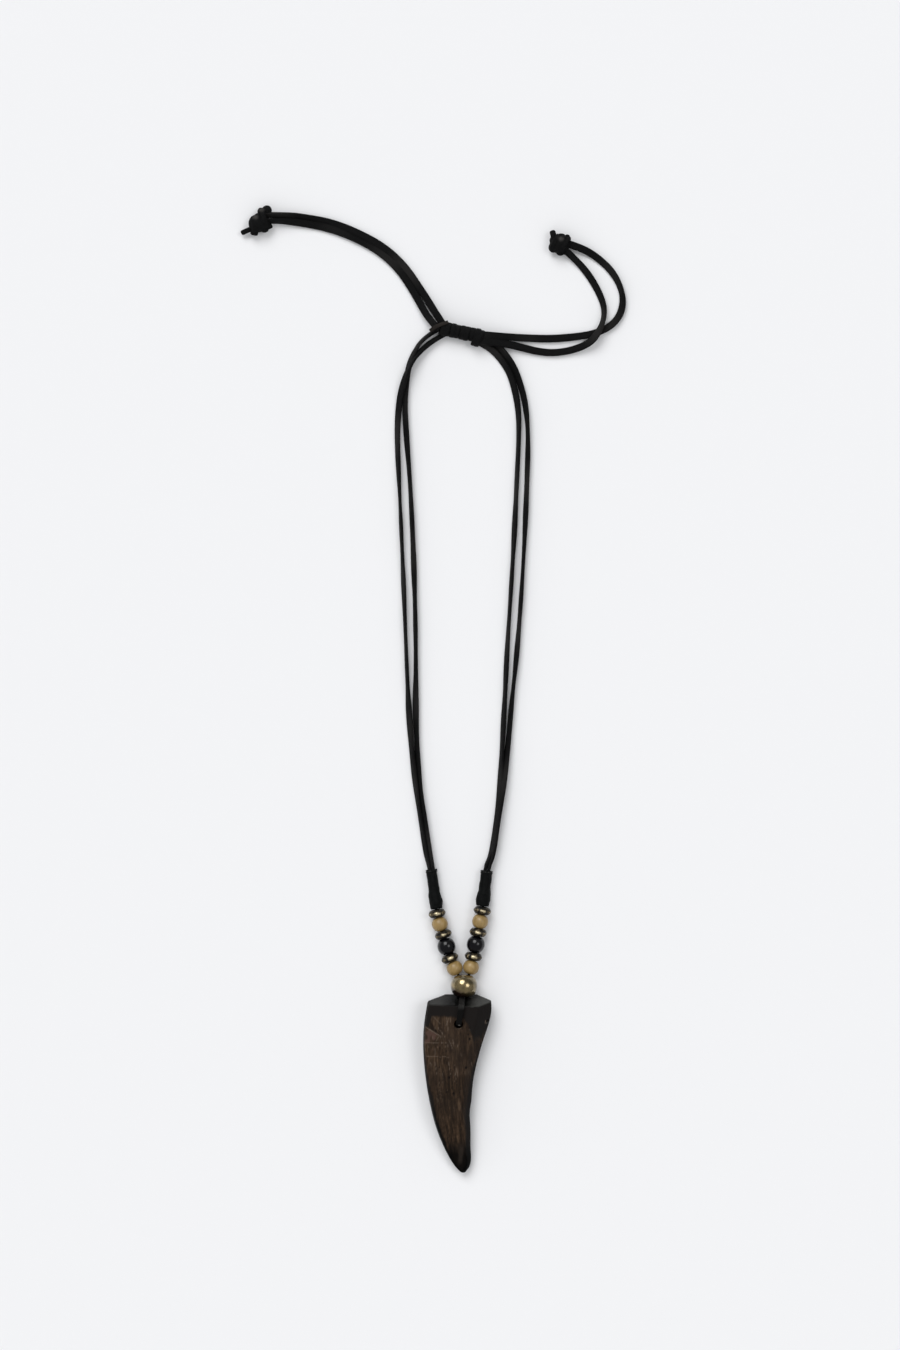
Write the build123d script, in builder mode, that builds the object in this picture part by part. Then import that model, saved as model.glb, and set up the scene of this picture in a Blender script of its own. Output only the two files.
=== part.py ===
from build123d import *
import os
from math import cos, pi, radians, sin, tan

# Horn necklace lying flat, in millimetres. X to the right, Y from the pendant to the tails, Z up.
# The origin lies on the resting surface, in the middle of the neck opening.

# Horn pendant
HORN_X = -1.8
HORN_TOP_Y = -133.5
HORN_LENGTH = 71.2
HORN_WIDTH = 26.6
HORN_THICK = 12.6
TOP_CUT_TILT = 18.0
FRONT_HOLE_D = 3.4
FRONT_HOLE_X = 0.4
FRONT_HOLE_FROM_TOP = 11.2
CHANNEL_D = 3.2
CHANNEL_Z = 4.3
HOLE_BELOW_CHANNEL = 0.5
SIDE_HOLE_D = 1.6
SIDE_HOLE_DEPTH = 2.5
SIDE_HOLE_FROM_TOP = 10.3
SIDE_HOLE_X = 11.6
SIDE_HOLE_Z = 7.7
PIT_D = 1.0
PIT_DEPTH = 0.8
PIT_X = 4.6
PIT_FROM_TOP = 12.9

# Flat lace loop that carries the horn
LOOP_WIDTH = 2.3
LOOP_THICK = 0.9
LOOP_GAP = 0.15
LOOP_BEND = 0.6
LOOP_LEG_SPREAD = 1.3
LOOP_SPLIT = 0.2
LOOP_ENTRY = 1.2

# Brass bead above the horn
PENDANT_BEAD_D = 10.4
PENDANT_BEAD_LENGTH = 8.2
PENDANT_BEAD_BORE = 3.8
PENDANT_BEAD_MOUTH = 5.8
PENDANT_BEAD_X = 0.8

# Beads of the two strings
WOOD_D = 6.4
WOOD_LENGTH = 5.5
BLACK_D = 6.9
BLACK_LENGTH = 6.5
SPACER_D = 6.9
SPACER_LENGTH = 2.9
SPACER_LOBES = 10
SPACER_LOBE_D = 1.7
BEAD_BORE = 1.9
BEAD_GAP = 0.2
THREAD_D = 1.1
THREAD_SPREAD = 0.7
THREAD_SPLIT = 0.2
THREAD_STRAIGHT = 1.8
STRING_Z = SPACER_D / 2

# Wound sleeves where two laces end and one thread begins
WHIPPING_WALL = 0.3
WHIPPING_BULGE_D = 5.4
WHIPPING_END_D = 4.6
WHIPPING_COLLAR = 0.7
WHIPPING_COLLAR_STEP = 0.15
SOCKET_DEPTH = 3.0
LACE_STRAIGHT = 1.5
# Route points that shape a socket
SOCKET_POINTS = 5

# Laces: round tubes that stand in for a flat lace
LACE_D = 1.8
LACE_CLEARANCE = 0.06
LACE_GAP = 0.14
# Turn of each side's pair of laces where it enters its sleeve, in degrees from lying side by side,
# and which lace lies lower
LACE_PAIRS = {"left": (45.0, "outer", "inner"), "right": (40.0, "inner", "outer")}

# Slide knot
SLIDE_START = (-10.0, 132.2)
SLIDE_END = (9.0, 128.2)
SLIDE_D = 5.6
SLIDE_TURNS = 9
SLIDE_GROOVE = 0.35
# Last turn across its right end, from one point to another, and its diameter
SLIDE_WRAP = ((5.4, 125.6, 2.8), (6.9, 132.6, 2.8), 5.2)

# Shares of the horn: along from the top, left and right edge from the axis line as shares of the width,
# heights of the front and the back as shares of the thickness, rounding of the corners as a share of the
# section's own width
HORN_SECTIONS = [
    # along, left, right, front, back, rounding
    (-0.080, -0.397, 0.552, 1.010, -0.040, 0.060),
    (0.060, -0.468, 0.535, 1.004, -0.040, 0.060),
    (0.160, -0.509, 0.494, 0.993, -0.040, 0.061),
    (0.260, -0.523, 0.403, 0.970, -0.040, 0.064),
    (0.360, -0.512, 0.324, 0.935, -0.038, 0.070),
    (0.480, -0.478, 0.253, 0.882, -0.033, 0.078),
    (0.600, -0.423, 0.221, 0.820, -0.025, 0.085),
    (0.720, -0.345, 0.204, 0.740, -0.010, 0.092),
    (0.820, -0.247, 0.207, 0.640, 0.018, 0.098),
    (0.900, -0.146, 0.214, 0.530, 0.056, 0.100),
    (0.955, -0.056, 0.198, 0.410, 0.105, 0.100),
    (0.985, 0.013, 0.150, 0.335, 0.150, 0.100),
    (1.000, 0.060, 0.110, 0.275, 0.205, 0.100),
]

# One outline of the horn's section: across as a share of the width, up as a share of the thickness
HORN_CORNERS = [
    (-0.50, 0.55),
    (-0.46, 0.84),
    (0.27, 1.00),
    (0.50, 0.55),
    (0.25, 0.02),
    (-0.20, 0.00),
]

# Heading of each bead's bore, in degrees from +X, from the brass bead up to the sleeve
LEFT_STRING = [
    ("left_wood_bead_lower", "wood", 118.0),
    ("left_spacer_lower", "spacer", 112.0),
    ("left_black_bead", "black", 103.0),
    ("left_spacer_middle", "spacer", 110.0),
    ("left_wood_bead_upper", "wood", 107.0),
    ("left_spacer_upper", "spacer", 101.0),
]
RIGHT_STRING = [
    ("right_wood_bead_lower", "wood", 76.0),
    ("right_spacer_lower", "spacer", 81.0),
    ("right_black_bead", "black", 78.0),
    ("right_spacer_middle", "spacer", 81.0),
    ("right_wood_bead_upper", "wood", 78.0),
    ("right_spacer_upper", "spacer", 81.0),
]
BEAD_SIZES = {
    "wood": (WOOD_D, WOOD_LENGTH),
    "spacer": (SPACER_D, SPACER_LENGTH),
    "black": (BLACK_D, BLACK_LENGTH),
}
# Where each string starts, beside the brass bead's upper end, from that bead's centre
LEFT_STRING_START = (-2.4, 4.5)
RIGHT_STRING_START = (2.1, 4.6)
# Sleeve: heading, the free thread below it and its length
LEFT_WHIPPING = (97.0, 0.4, 15.8)
RIGHT_WHIPPING = (84.0, 0.4, 14.2)

# Lace routes as seen from above: x, y and the lift above lying on the surface.
# Each neck stretch goes up from its sleeve to the slide knot, each tail from the slide knot to its end knot.
LACE_ROUTES = {
    "left_outer_lace": [
        (-14.2, -78.0, 0.0), (-16.2, -66.0, 0.0), (-19.0, -48.0, 0.0), (-21.1, -24.0, 0.0),
        (-22.2, 0.0, 0.0), (-23.1, 24.0, 0.0), (-24.1, 48.0, 0.0), (-25.2, 72.0, 0.0),
        (-26.0, 90.0, 0.0), (-25.2, 103.0, 0.6), (-23.4, 111.0, 2.6), (-20.4, 118.6, 2.6),
        (-16.6, 123.6, 0.9), (-11.0, 128.2, 0.4), (-6.0, 130.6, 0.7),
    ],
    "left_inner_lace": [
        (-12.6, -78.0, 1.2), (-14.6, -66.0, 1.2), (-17.2, -48.0, 0.8), (-18.6, -24.0, 0.0),
        (-18.4, 0.0, 0.0), (-18.8, 24.0, 0.0), (-19.6, 48.0, 0.0), (-20.8, 72.0, 0.0),
        (-22.3, 90.0, 0.0), (-22.9, 103.0, 0.0), (-22.0, 114.4, 0.0), (-20.0, 121.8, 0.0),
        (-15.2, 129.2, 0.2), (-8.6, 132.6, 0.7),
    ],
    "right_inner_lace": [
        (11.3, -78.8, 0.0), (12.9, -71.2, 0.0), (14.4, -60.0, 0.0), (15.4, -48.0, 0.0),
        (16.3, -30.0, 0.0), (17.2, -14.0, 0.0), (18.0, 4.0, 0.0), (19.3, 24.0, 0.0),
        (20.8, 48.0, 0.0), (21.9, 72.0, 0.0), (22.8, 90.0, 0.0), (22.5, 102.0, 0.0),
        (19.8, 113.3, 0.0), (16.4, 119.1, 0.0), (12.4, 123.7, 0.0), (8.7, 126.0, 0.3),
        (5.0, 127.8, 0.6),
    ],
    "right_outer_lace": [
        (12.3, -78.8, 2.0), (13.3, -71.2, 2.2), (15.0, -60.0, 2.2), (16.8, -48.0, 1.8),
        (18.6, -32.0, 0.5), (19.8, -17.0, 0.0), (21.7, 0.0, 0.0), (23.6, 24.0, 0.0),
        (25.0, 48.0, 0.0), (26.0, 72.0, 0.0), (26.5, 90.0, 0.0), (25.4, 103.0, 0.0),
        (22.0, 114.6, 0.0), (18.4, 120.9, 0.0), (14.2, 125.5, 0.0), (11.0, 127.7, 0.3),
        (8.0, 129.1, 0.6),
    ],
    "left_tail_upper_lace": [
        (-6.1, 131.9, 2.9), (-9.9, 137.3, 2.6), (-13.3, 143.0, 0.5), (-17.3, 149.3, 0.0),
        (-22.7, 157.3, 0.0), (-30.8, 164.8, 0.0), (-41.1, 170.6, 0.0), (-51.3, 174.7, 0.0),
        (-62.9, 176.9, 0.4), (-72.0, 177.7, 1.6), (-79.0, 177.6, 2.4),
    ],
    "left_tail_lower_lace": [
        (-9.2, 131.6, 3.0), (-13.4, 136.4, 2.5), (-16.2, 141.4, 0.5), (-19.7, 147.9, 0.0),
        (-24.7, 155.6, 0.0), (-32.2, 162.8, 0.0), (-42.1, 168.4, 0.0), (-51.9, 172.3, 0.0),
        (-63.1, 174.5, 0.4), (-72.0, 175.4, 1.6), (-79.0, 175.2, 2.4),
    ],
    "right_tail_upper_lace": [
        (6.0, 129.9, 3.0), (12.2, 129.4, 2.8), (18.0, 129.1, 1.2), (25.0, 128.7, 0.0),
        (36.0, 128.3, 0.0), (47.8, 129.4, 0.0), (54.8, 131.0, 0.0), (60.6, 134.2, 0.0),
        (64.0, 139.4, 0.0), (64.4, 146.4, 0.0), (60.6, 154.9, 0.0), (53.6, 161.4, 0.3),
        (46.6, 165.0, 1.5), (40.0, 166.8, 2.6),
    ],
    "right_tail_lower_lace": [
        (6.0, 127.7, 3.0), (12.2, 126.8, 2.8), (18.0, 126.2, 1.6), (24.3, 124.8, 0.3),
        (30.2, 123.3, 0.0), (36.5, 122.7, 0.0), (43.0, 123.6, 0.0), (48.6, 125.4, 0.8),
        (52.8, 128.1, 2.6), (56.2, 134.2, 2.6), (57.1, 140.4, 0.6), (54.8, 147.0, 0.0),
        (50.4, 154.4, 0.0), (45.2, 160.2, 1.2), (40.0, 164.6, 2.6),
    ],
}

# End knots: the rounded wraps of each one and its cut ends, each from one point to another
LEFT_KNOT_WRAPS = [((-83.9, 171.6, 3.6), (-78.6, 179.9, 3.6), 6.6), ((-84.2, 176.6, 4.0), (-77.4, 174.3, 4.3), 4.8)]
LEFT_KNOT_STUBS = [((-83.0, 173.4, 3.2), (-87.6, 170.8, 1.8)), ((-81.8, 173.2, 2.5), (-84.2, 169.4, 1.4))]
RIGHT_KNOT_WRAPS = [((36.6, 168.2, 3.4), (41.0, 163.8, 3.4), 6.2), ((37.0, 163.6, 3.8), (41.3, 168.6, 3.8), 4.8)]
RIGHT_KNOT_STUBS = [((37.4, 167.4, 4.2), (35.7, 171.2, 3.2)), ((39.2, 164.0, 2.6), (39.3, 161.5, 1.6))]
STUB_D = 1.8
WRAP_ROUNDING = 0.32


def unit(heading):
    """Level unit vector at a heading in degrees from +X."""
    return Vector(cos(radians(heading)), sin(radians(heading)), 0)


def bend_radii(points):
    """Radius of the arc at each corner, 0.45 of the shorter run over the tangent of half the turn."""
    radii = []
    for before, corner, after in zip(points, points[1:], points[2:]):
        run_in = Vector(*corner) - Vector(*before)
        run_out = Vector(*after) - Vector(*corner)
        half_turn = radians(run_in.get_angle(run_out)) / 2
        radii.append(0.45 * min(run_in.length, run_out.length) / tan(half_turn))
    return radii


def rounded_outline(corners, radius):
    """Closed outline of lines and arcs: a polygon whose corners all have one radius."""
    turns = []
    count = len(corners)
    for i, corner in enumerate(corners):
        here = Vector(*corner)
        to_last = (Vector(*corners[i - 1]) - here).normalized()
        to_next = (Vector(*corners[(i + 1) % count]) - here).normalized()
        half_angle = radians(to_last.get_angle(to_next)) / 2
        setback = radius / tan(half_angle)
        centre = here + (to_last + to_next).normalized() * (radius / sin(half_angle))
        middle = centre + (here - centre).normalized() * radius
        turns.append((here + to_last * setback, middle, here + to_next * setback))
    for i, (start, middle, end) in enumerate(turns):
        ThreePointArc(start, middle, end)
        Line(end, turns[(i + 1) % count][0])


def round_tube(points, diameter):
    """Tube along straight runs joined by tangent arcs."""
    with BuildPart() as made:
        with BuildLine() as route:
            FilletPolyline(*points, radius=bend_radii(points))
        with BuildSketch(Plane(origin=route.line @ 0, z_dir=route.line % 0)):
            Circle(diameter / 2)
        sweep()
    return made


def finish(made, name):
    """Labels a piece and writes its file."""
    made.part.label = name
    export_step(made.part, f"parts/{name}.step")


def side_plane(centre, heading):
    """Plane whose x points to the side of a heading and whose y runs along it."""
    along = unit(heading)
    across = unit(heading - 90)
    return Plane(origin=centre, x_dir=across, z_dir=across.cross(along))


def round_bead(centre, heading, diameter, length, bore):
    """Round bead with its bore along the heading."""
    profile = side_plane(centre, heading)
    with BuildPart() as made:
        with BuildSketch(profile):
            with BuildLine():
                ThreePointArc((bore / 2, -length / 2), (diameter / 2, 0), (bore / 2, length / 2))
                Line((bore / 2, length / 2), (bore / 2, -length / 2))
            make_face()
        revolve(axis=Axis(centre, unit(heading)))
    return made


def lobed_spacer(centre, heading, diameter, length, bore):
    """Flat spacer ring with a rim of rounded lobes and a bore along the heading."""
    flat = Plane(origin=centre, x_dir=(0, 0, 1), z_dir=unit(heading))
    lobe_ring = (diameter - SPACER_LOBE_D) / 2
    with BuildPart() as made:
        with BuildSketch(flat):
            Circle(lobe_ring)
            with PolarLocations(lobe_ring, SPACER_LOBES):
                Circle(SPACER_LOBE_D / 2)
        extrude(amount=length * 0.36, both=True)
        with BuildSketch(flat):
            Circle(lobe_ring - SPACER_LOBE_D * 0.3)
        extrude(amount=length / 2, both=True)
        with BuildSketch(flat):
            Circle(bore / 2)
        extrude(amount=length, both=True, mode=Mode.SUBTRACT)
    return made


def string_beads(start, rows):
    """Makes the beads of one string and returns the points of its thread and the last heading."""
    joint = Vector(*start)
    joints = [joint]
    for name, kind, heading in rows:
        diameter, length = BEAD_SIZES[kind]
        shape = lobed_spacer if kind == "spacer" else round_bead
        centre = joint + unit(heading) * (length / 2 + BEAD_GAP / 2)
        finish(shape(centre, heading, diameter, length, BEAD_BORE), name)
        joint = joint + unit(heading) * (length + BEAD_GAP)
        joints.append(joint)
    return joints


def whipping_axis(string_end, placing):
    """Lower and upper end of the axis of a sleeve above its string."""
    heading, free_thread, length = placing
    low = string_end + unit(heading) * free_thread
    low = Vector(low.X, low.Y, WHIPPING_BULGE_D / 2 + LACE_GAP)
    level = unit(heading) * length
    high = Vector(low.X + level.X, low.Y + level.Y, whipping_top_d / 2 + LACE_GAP)
    return low, high


def whipping(low, high, lace_ends, thread):
    """Tapered sleeve with a collar at its top and a bulge near its lower end."""
    along = (high - low).normalized()
    across = along.cross(Vector(0, 0, 1)).normalized()
    length = (high - low).length
    waist = whipping_top_d / 2
    collar_start = length - WHIPPING_COLLAR
    with BuildPart() as made:
        with BuildSketch(Plane(origin=low, x_dir=across, z_dir=across.cross(along))):
            with BuildLine():
                Polyline((0, length), (0, 0), (WHIPPING_END_D / 2, 0))
                ThreePointArc(
                    (WHIPPING_END_D / 2, 0),
                    (WHIPPING_BULGE_D / 2, length * 0.13),
                    (WHIPPING_END_D / 2, length * 0.26),
                )
                Polyline(
                    (WHIPPING_END_D / 2, length * 0.26),
                    (waist, collar_start),
                    (waist + WHIPPING_COLLAR_STEP, collar_start),
                    (waist + WHIPPING_COLLAR_STEP, length),
                    (0, length),
                )
            make_face()
        revolve(axis=Axis(low, along))
        cut_sockets(lace_ends)
        cut_sockets([thread[::-1]], THREAD_D)
    return made


def rod(start, end, diameter):
    """Straight round rod between two points."""
    way = Vector(*end) - Vector(*start)
    with BuildPart() as made:
        with BuildSketch(Plane(origin=start, z_dir=way)):
            Circle(diameter / 2)
        extrude(amount=way.length)
    return made


def cut_sockets(cord_ends, diameter=LACE_D):
    """Cuts room for each cord end, its points listed from the end outwards, out of the piece being made."""
    for end, *onwards in cord_ends:
        bottom = end + (end - onwards[0]).normalized() * LACE_CLEARANCE
        add(round_tube([bottom, *onwards], diameter + 2 * LACE_CLEARANCE).part, mode=Mode.SUBTRACT)


def wrap(start, end, diameter):
    """Fat rod with rounded ends, for a turn of cord pulled tight."""
    with BuildPart() as made:
        add(rod(start, end, diameter).part)
        fillet(made.edges().filter_by(GeomType.CIRCLE), WRAP_ROUNDING * diameter)
    return made


def end_knot(wraps, stubs, lace_ends):
    """Knot of rounded wraps and cut ends, with a socket where each lace enters."""
    with BuildPart() as made:
        for start, end, diameter in wraps:
            add(wrap(start, end, diameter).part)
        for start, end in stubs:
            add(rod(start, end, STUB_D).part)
        cut_sockets(lace_ends)
    return made


os.makedirs("parts", exist_ok=True)

whipping_top_d = 2 * (LACE_D + LACE_GAP + WHIPPING_WALL)

# Horn pendant
face_slope = tan(radians(TOP_CUT_TILT))
bead_centre_y = (
    HORN_TOP_Y - PENDANT_BEAD_D / 2 * face_slope
    + PENDANT_BEAD_LENGTH / 2 + PENDANT_BEAD_MOUTH / 2 * face_slope + LOOP_GAP
)
bead_centre = Vector(PENDANT_BEAD_X, bead_centre_y, PENDANT_BEAD_D / 2)
front_hole = Vector(HORN_X + FRONT_HOLE_X, HORN_TOP_Y - FRONT_HOLE_FROM_TOP, HORN_THICK)
loop_way = Vector(front_hole.X - bead_centre.X, front_hole.Y - bead_centre.Y, 0).normalized()
with BuildPart() as horn_pendant:
    for along, left, right, front, back, rounding in HORN_SECTIONS:
        centre_x = HORN_X + (left + right) / 2 * HORN_WIDTH
        wide = (right - left) * HORN_WIDTH
        low = back * HORN_THICK
        tall = front * HORN_THICK - low
        station = Plane(
            origin=(centre_x, HORN_TOP_Y - along * HORN_LENGTH, 0), x_dir=(1, 0, 0), z_dir=(0, -1, 0)
        )
        corners = [(x * wide, low + z * tall) for x, z in HORN_CORNERS]
        with BuildSketch(station):
            with BuildLine():
                rounded_outline(corners, rounding * wide)
            make_face()
    loft()
    top_face = Plane(origin=(HORN_X, HORN_TOP_Y, 0), x_dir=(1, 0, 0), z_dir=(0, 1, face_slope))
    split(bisect_by=top_face, keep=Keep.BOTTOM)
    split(bisect_by=Plane.XY, keep=Keep.TOP)
    with BuildSketch(Plane.XY.offset(HORN_THICK * 1.1)):
        with Locations((front_hole.X, front_hole.Y)):
            Circle(FRONT_HOLE_D / 2)
    hole_bottom = CHANNEL_Z - CHANNEL_D / 2 - HOLE_BELOW_CHANNEL
    extrude(amount=-(HORN_THICK * 1.1 - hole_bottom), mode=Mode.SUBTRACT)
    channel_start = Vector(front_hole.X, front_hole.Y, CHANNEL_Z)
    with BuildSketch(Plane(origin=channel_start, z_dir=-loop_way)):
        Circle(CHANNEL_D / 2)
    extrude(amount=FRONT_HOLE_FROM_TOP * 1.2, mode=Mode.SUBTRACT)
    with BuildSketch(Plane.XY.offset(HORN_THICK * 1.1)):
        with Locations((HORN_X + PIT_X, HORN_TOP_Y - PIT_FROM_TOP)):
            Circle(PIT_D / 2)
    extrude(amount=-(HORN_THICK * 0.1 + PIT_DEPTH), mode=Mode.SUBTRACT)
    side_hole = Vector(HORN_X + SIDE_HOLE_X, HORN_TOP_Y - SIDE_HOLE_FROM_TOP, SIDE_HOLE_Z)
    with BuildSketch(Plane(origin=side_hole, z_dir=(-1, 0, -1))):
        Circle(SIDE_HOLE_D / 2)
    extrude(amount=SIDE_HOLE_DEPTH, both=True, mode=Mode.SUBTRACT)
finish(horn_pendant, "horn_pendant")

# Loop from the bead over the horn's cap, into the front hole and back out of the top face
loop_plane = Plane(origin=(bead_centre.X, bead_centre.Y, 0), x_dir=loop_way, z_dir=loop_way.cross(Vector(0, 0, 1)))
level_reach = (front_hole - bead_centre).dot(loop_way)
face_reach = (HORN_TOP_Y - bead_centre.Y) / loop_way.Y
bead_end = PENDANT_BEAD_LENGTH / 2
stand_off = LOOP_THICK / 2 + LOOP_GAP
upper_leg = bead_centre.Z + LOOP_LEG_SPREAD / 2
lower_leg = bead_centre.Z - LOOP_LEG_SPREAD / 2
over_cap = HORN_THICK + stand_off
loop_points = [
    (LOOP_SPLIT, upper_leg),
    (face_reach + upper_leg * face_slope - stand_off * 1.1, upper_leg),
    (face_reach + over_cap * face_slope - stand_off * 1.1, over_cap),
    (level_reach, over_cap),
    (level_reach, CHANNEL_Z),
    (face_reach + CHANNEL_Z * face_slope - stand_off, CHANNEL_Z),
    (bead_end - LOOP_ENTRY, lower_leg),
    (LOOP_SPLIT, lower_leg),
]
with BuildPart() as pendant_loop:
    with BuildLine(loop_plane) as loop_route:
        FilletPolyline(*loop_points, radius=LOOP_BEND)
    with BuildSketch(Plane(origin=loop_route.line @ 0, x_dir=loop_plane.z_dir, z_dir=loop_route.line % 0)):
        Rectangle(LOOP_WIDTH, LOOP_THICK)
    sweep()
finish(pendant_loop, "pendant_loop")

# Bead strings, sleeves and the laces that start in them
sides = [
    ("left", -1, LEFT_STRING, LEFT_STRING_START, LEFT_WHIPPING),
    ("right", 1, RIGHT_STRING, RIGHT_STRING_START, RIGHT_WHIPPING),
]
rest_z = LACE_D / 2
routes = {name: [Vector(x, y, rest_z + lift) for x, y, lift in points] for name, points in LACE_ROUTES.items()}
threads = []
for side, sign, rows, start, placing in sides:
    string_start = Vector(bead_centre.X + start[0], bead_centre.Y + start[1], STRING_Z)
    joints = string_beads(string_start, rows)
    low, high = whipping_axis(joints[-1], placing)
    along = (high - low).normalized()
    thread_points = [
        bead_centre + Vector(sign * THREAD_SPREAD, THREAD_SPLIT, 0),
        bead_centre + Vector(sign * THREAD_SPREAD, THREAD_STRAIGHT, -THREAD_SPLIT),
        *joints,
        low + along * THREAD_SPLIT,
        low + along * SOCKET_DEPTH,
    ]
    thread = round_tube(thread_points, THREAD_D)
    finish(thread, f"{side}_bead_thread")
    across = Vector(along.Y, -along.X, 0).normalized()
    turn, lower, upper = LACE_PAIRS[side]
    reach = (LACE_D + LACE_GAP) / 2
    seat_offset = across * (reach * cos(radians(turn))) + Vector(0, 0, reach * sin(radians(turn)))
    for place, offset in ((lower, seat_offset * -1), (upper, seat_offset)):
        seat = high + offset
        routes[f"{side}_{place}_lace"][:0] = [seat - along * SOCKET_DEPTH, seat + along * LACE_STRAIGHT]
    seated = [routes[f"{side}_{place}_lace"][: SOCKET_POINTS - 1] for place in (lower, upper)]
    finish(whipping(low, high, seated, thread_points), f"{side}_whipping")
    threads.append(thread_points)

# Brass bead with a bore that opens out at both ends
bead_plane = Plane(origin=bead_centre, x_dir=(1, 0, 0), z_dir=(0, 0, 1))
with BuildPart() as pendant_bead:
    with BuildSketch(bead_plane):
        with BuildLine():
            mouth = PENDANT_BEAD_MOUTH / 2
            ThreePointArc((mouth, -bead_end), (PENDANT_BEAD_D / 2, 0), (mouth, bead_end))
            ThreePointArc((mouth, bead_end), (PENDANT_BEAD_BORE / 2, 0), (mouth, -bead_end))
        make_face()
    revolve(axis=Axis(bead_centre, (0, 1, 0)))
    for points in threads:
        add(round_tube(points, THREAD_D + 2 * LACE_CLEARANCE).part, mode=Mode.SUBTRACT)
finish(pendant_bead, "pendant_bead")

# Slide knot: turns of cord side by side round its axis
slide_start = Vector(*SLIDE_START, SLIDE_D / 2)
slide_end = Vector(*SLIDE_END, SLIDE_D / 2)
slide_way = (slide_end - slide_start).normalized()
slide_length = (slide_end - slide_start).length
pitch = slide_length / SLIDE_TURNS
groove = SLIDE_D / 2 - SLIDE_GROOVE
with BuildPart() as slide_knot:
    with BuildSketch(Plane(origin=slide_start, x_dir=slide_way, z_dir=(slide_way.Y, -slide_way.X, 0))):
        with BuildLine():
            for turn in range(SLIDE_TURNS):
                start = turn * pitch
                ThreePointArc((start, groove), (start + pitch / 2, SLIDE_D / 2), (start + pitch, groove))
            Polyline((slide_length, groove), (slide_length, 0), (0, 0), (0, groove))
        make_face()
    revolve(axis=Axis(slide_start, slide_way))
    add(wrap(*SLIDE_WRAP).part)
    cut_sockets(points[: SOCKET_POINTS - 1] for name, points in routes.items() if "tail" in name)
    cut_sockets(points[:-SOCKET_POINTS:-1] for name, points in routes.items() if "tail" not in name)
finish(slide_knot, "slide_knot")

# End knots
for side, wraps, stubs in (
    ("left", LEFT_KNOT_WRAPS, LEFT_KNOT_STUBS),
    ("right", RIGHT_KNOT_WRAPS, RIGHT_KNOT_STUBS),
):
    tails = [points[:-SOCKET_POINTS:-1] for name, points in routes.items() if name.startswith(f"{side}_tail")]
    finish(end_knot(wraps, stubs, tails), f"{side}_end_knot")

# Laces
for name, points in routes.items():
    lace = round_tube(points, LACE_D)
    finish(lace, name)
    section = pi * LACE_D**2 / 4
    length = lace.part.volume / section
    radii = ", ".join(f"{radius:.0f}" for radius in bend_radii(points))
    print(f"{name}: length {length:.0f} mm, radii {radii}")
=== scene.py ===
# %% [markdown]
# A horn necklace that lies flat, seen from straight above. A polished tip of horn hangs by a flat loop from
# a round metal bead. Two short strings of small beads lead up to two wound sleeves, where pairs of flat lace
# begin, and the four laces meet in a sliding knot, with free ends beyond it. Lengths are named in millimetres
# and turned into metres by MM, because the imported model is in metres.

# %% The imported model
from math import cos, pi, radians, sin

import bmesh
import bpy
import numpy as np
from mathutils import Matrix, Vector


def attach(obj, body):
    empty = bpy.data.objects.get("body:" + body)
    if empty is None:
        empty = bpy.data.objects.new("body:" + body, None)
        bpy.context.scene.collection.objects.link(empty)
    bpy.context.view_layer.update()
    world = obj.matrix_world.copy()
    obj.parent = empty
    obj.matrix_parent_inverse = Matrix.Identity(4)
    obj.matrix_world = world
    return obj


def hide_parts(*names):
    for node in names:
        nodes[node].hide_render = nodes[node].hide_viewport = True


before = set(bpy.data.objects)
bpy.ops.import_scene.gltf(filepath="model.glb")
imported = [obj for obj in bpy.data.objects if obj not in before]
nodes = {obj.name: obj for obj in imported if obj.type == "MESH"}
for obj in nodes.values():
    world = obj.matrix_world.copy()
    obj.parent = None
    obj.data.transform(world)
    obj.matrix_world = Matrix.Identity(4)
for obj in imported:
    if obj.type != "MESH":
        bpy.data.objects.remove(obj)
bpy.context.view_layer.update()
scene = bpy.context.scene
MM = 0.001
print("nodes", len(nodes))

# %% [markdown]
# The camera looks straight down. Its frame is worked out from the photograph's size and from the scale that
# the lace gives, so one pixel of the picture is the same length everywhere on the floor. A long lens from
# far up keeps the small heights of the beads from spreading outwards.

# %% Camera
PHOTO_WIDTH = 900
PHOTO_HEIGHT = 1350
MM_PER_PIXEL = 0.40
ORIGIN_PIXEL = (462, 660)
CAMERA_HEIGHT = 1600.0
SENSOR = 36.0


def add_object(name, data):
    """Object of a mesh, a curve, a camera or a light, put in the scene."""
    made = bpy.data.objects.new(name, data)
    scene.collection.objects.link(made)
    return made


camera_data = bpy.data.cameras.new("camera")
camera_data.sensor_width = SENSOR
camera_data.lens = SENSOR * CAMERA_HEIGHT / (PHOTO_HEIGHT * MM_PER_PIXEL)
camera = add_object("camera", camera_data)
camera.location = (
    (PHOTO_WIDTH / 2 - ORIGIN_PIXEL[0]) * MM_PER_PIXEL * MM,
    (ORIGIN_PIXEL[1] - PHOTO_HEIGHT / 2) * MM_PER_PIXEL * MM,
    CAMERA_HEIGHT * MM,
)
scene.camera = camera
print("lens", round(camera_data.lens, 1))

# %% [markdown]
# Every new shape here is a grid of points: one index runs along the piece and the other runs round it. One
# helper turns such a grid into a mesh with a UV map, closed round the piece and closed at its two ends by a
# fan of triangles, so that each piece is a sealed surface.

# %% Mesh helpers
# How deep a slice of a solid counts as its end, and how far every dressed piece stays above the floor
END_SLICE = 0.3
FLOOR_CLEARANCE = 0.03


def grid_quads(row, column, rows, columns):
    """Quads from grid points to their neighbours, where the first row and column come after the last."""
    below, after = (row + 1) % rows, (column + 1) % columns
    corners = [row * columns + column, row * columns + after, below * columns + after, below * columns + column]
    return np.stack(corners, -1).reshape(-1, 4).tolist()


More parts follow.
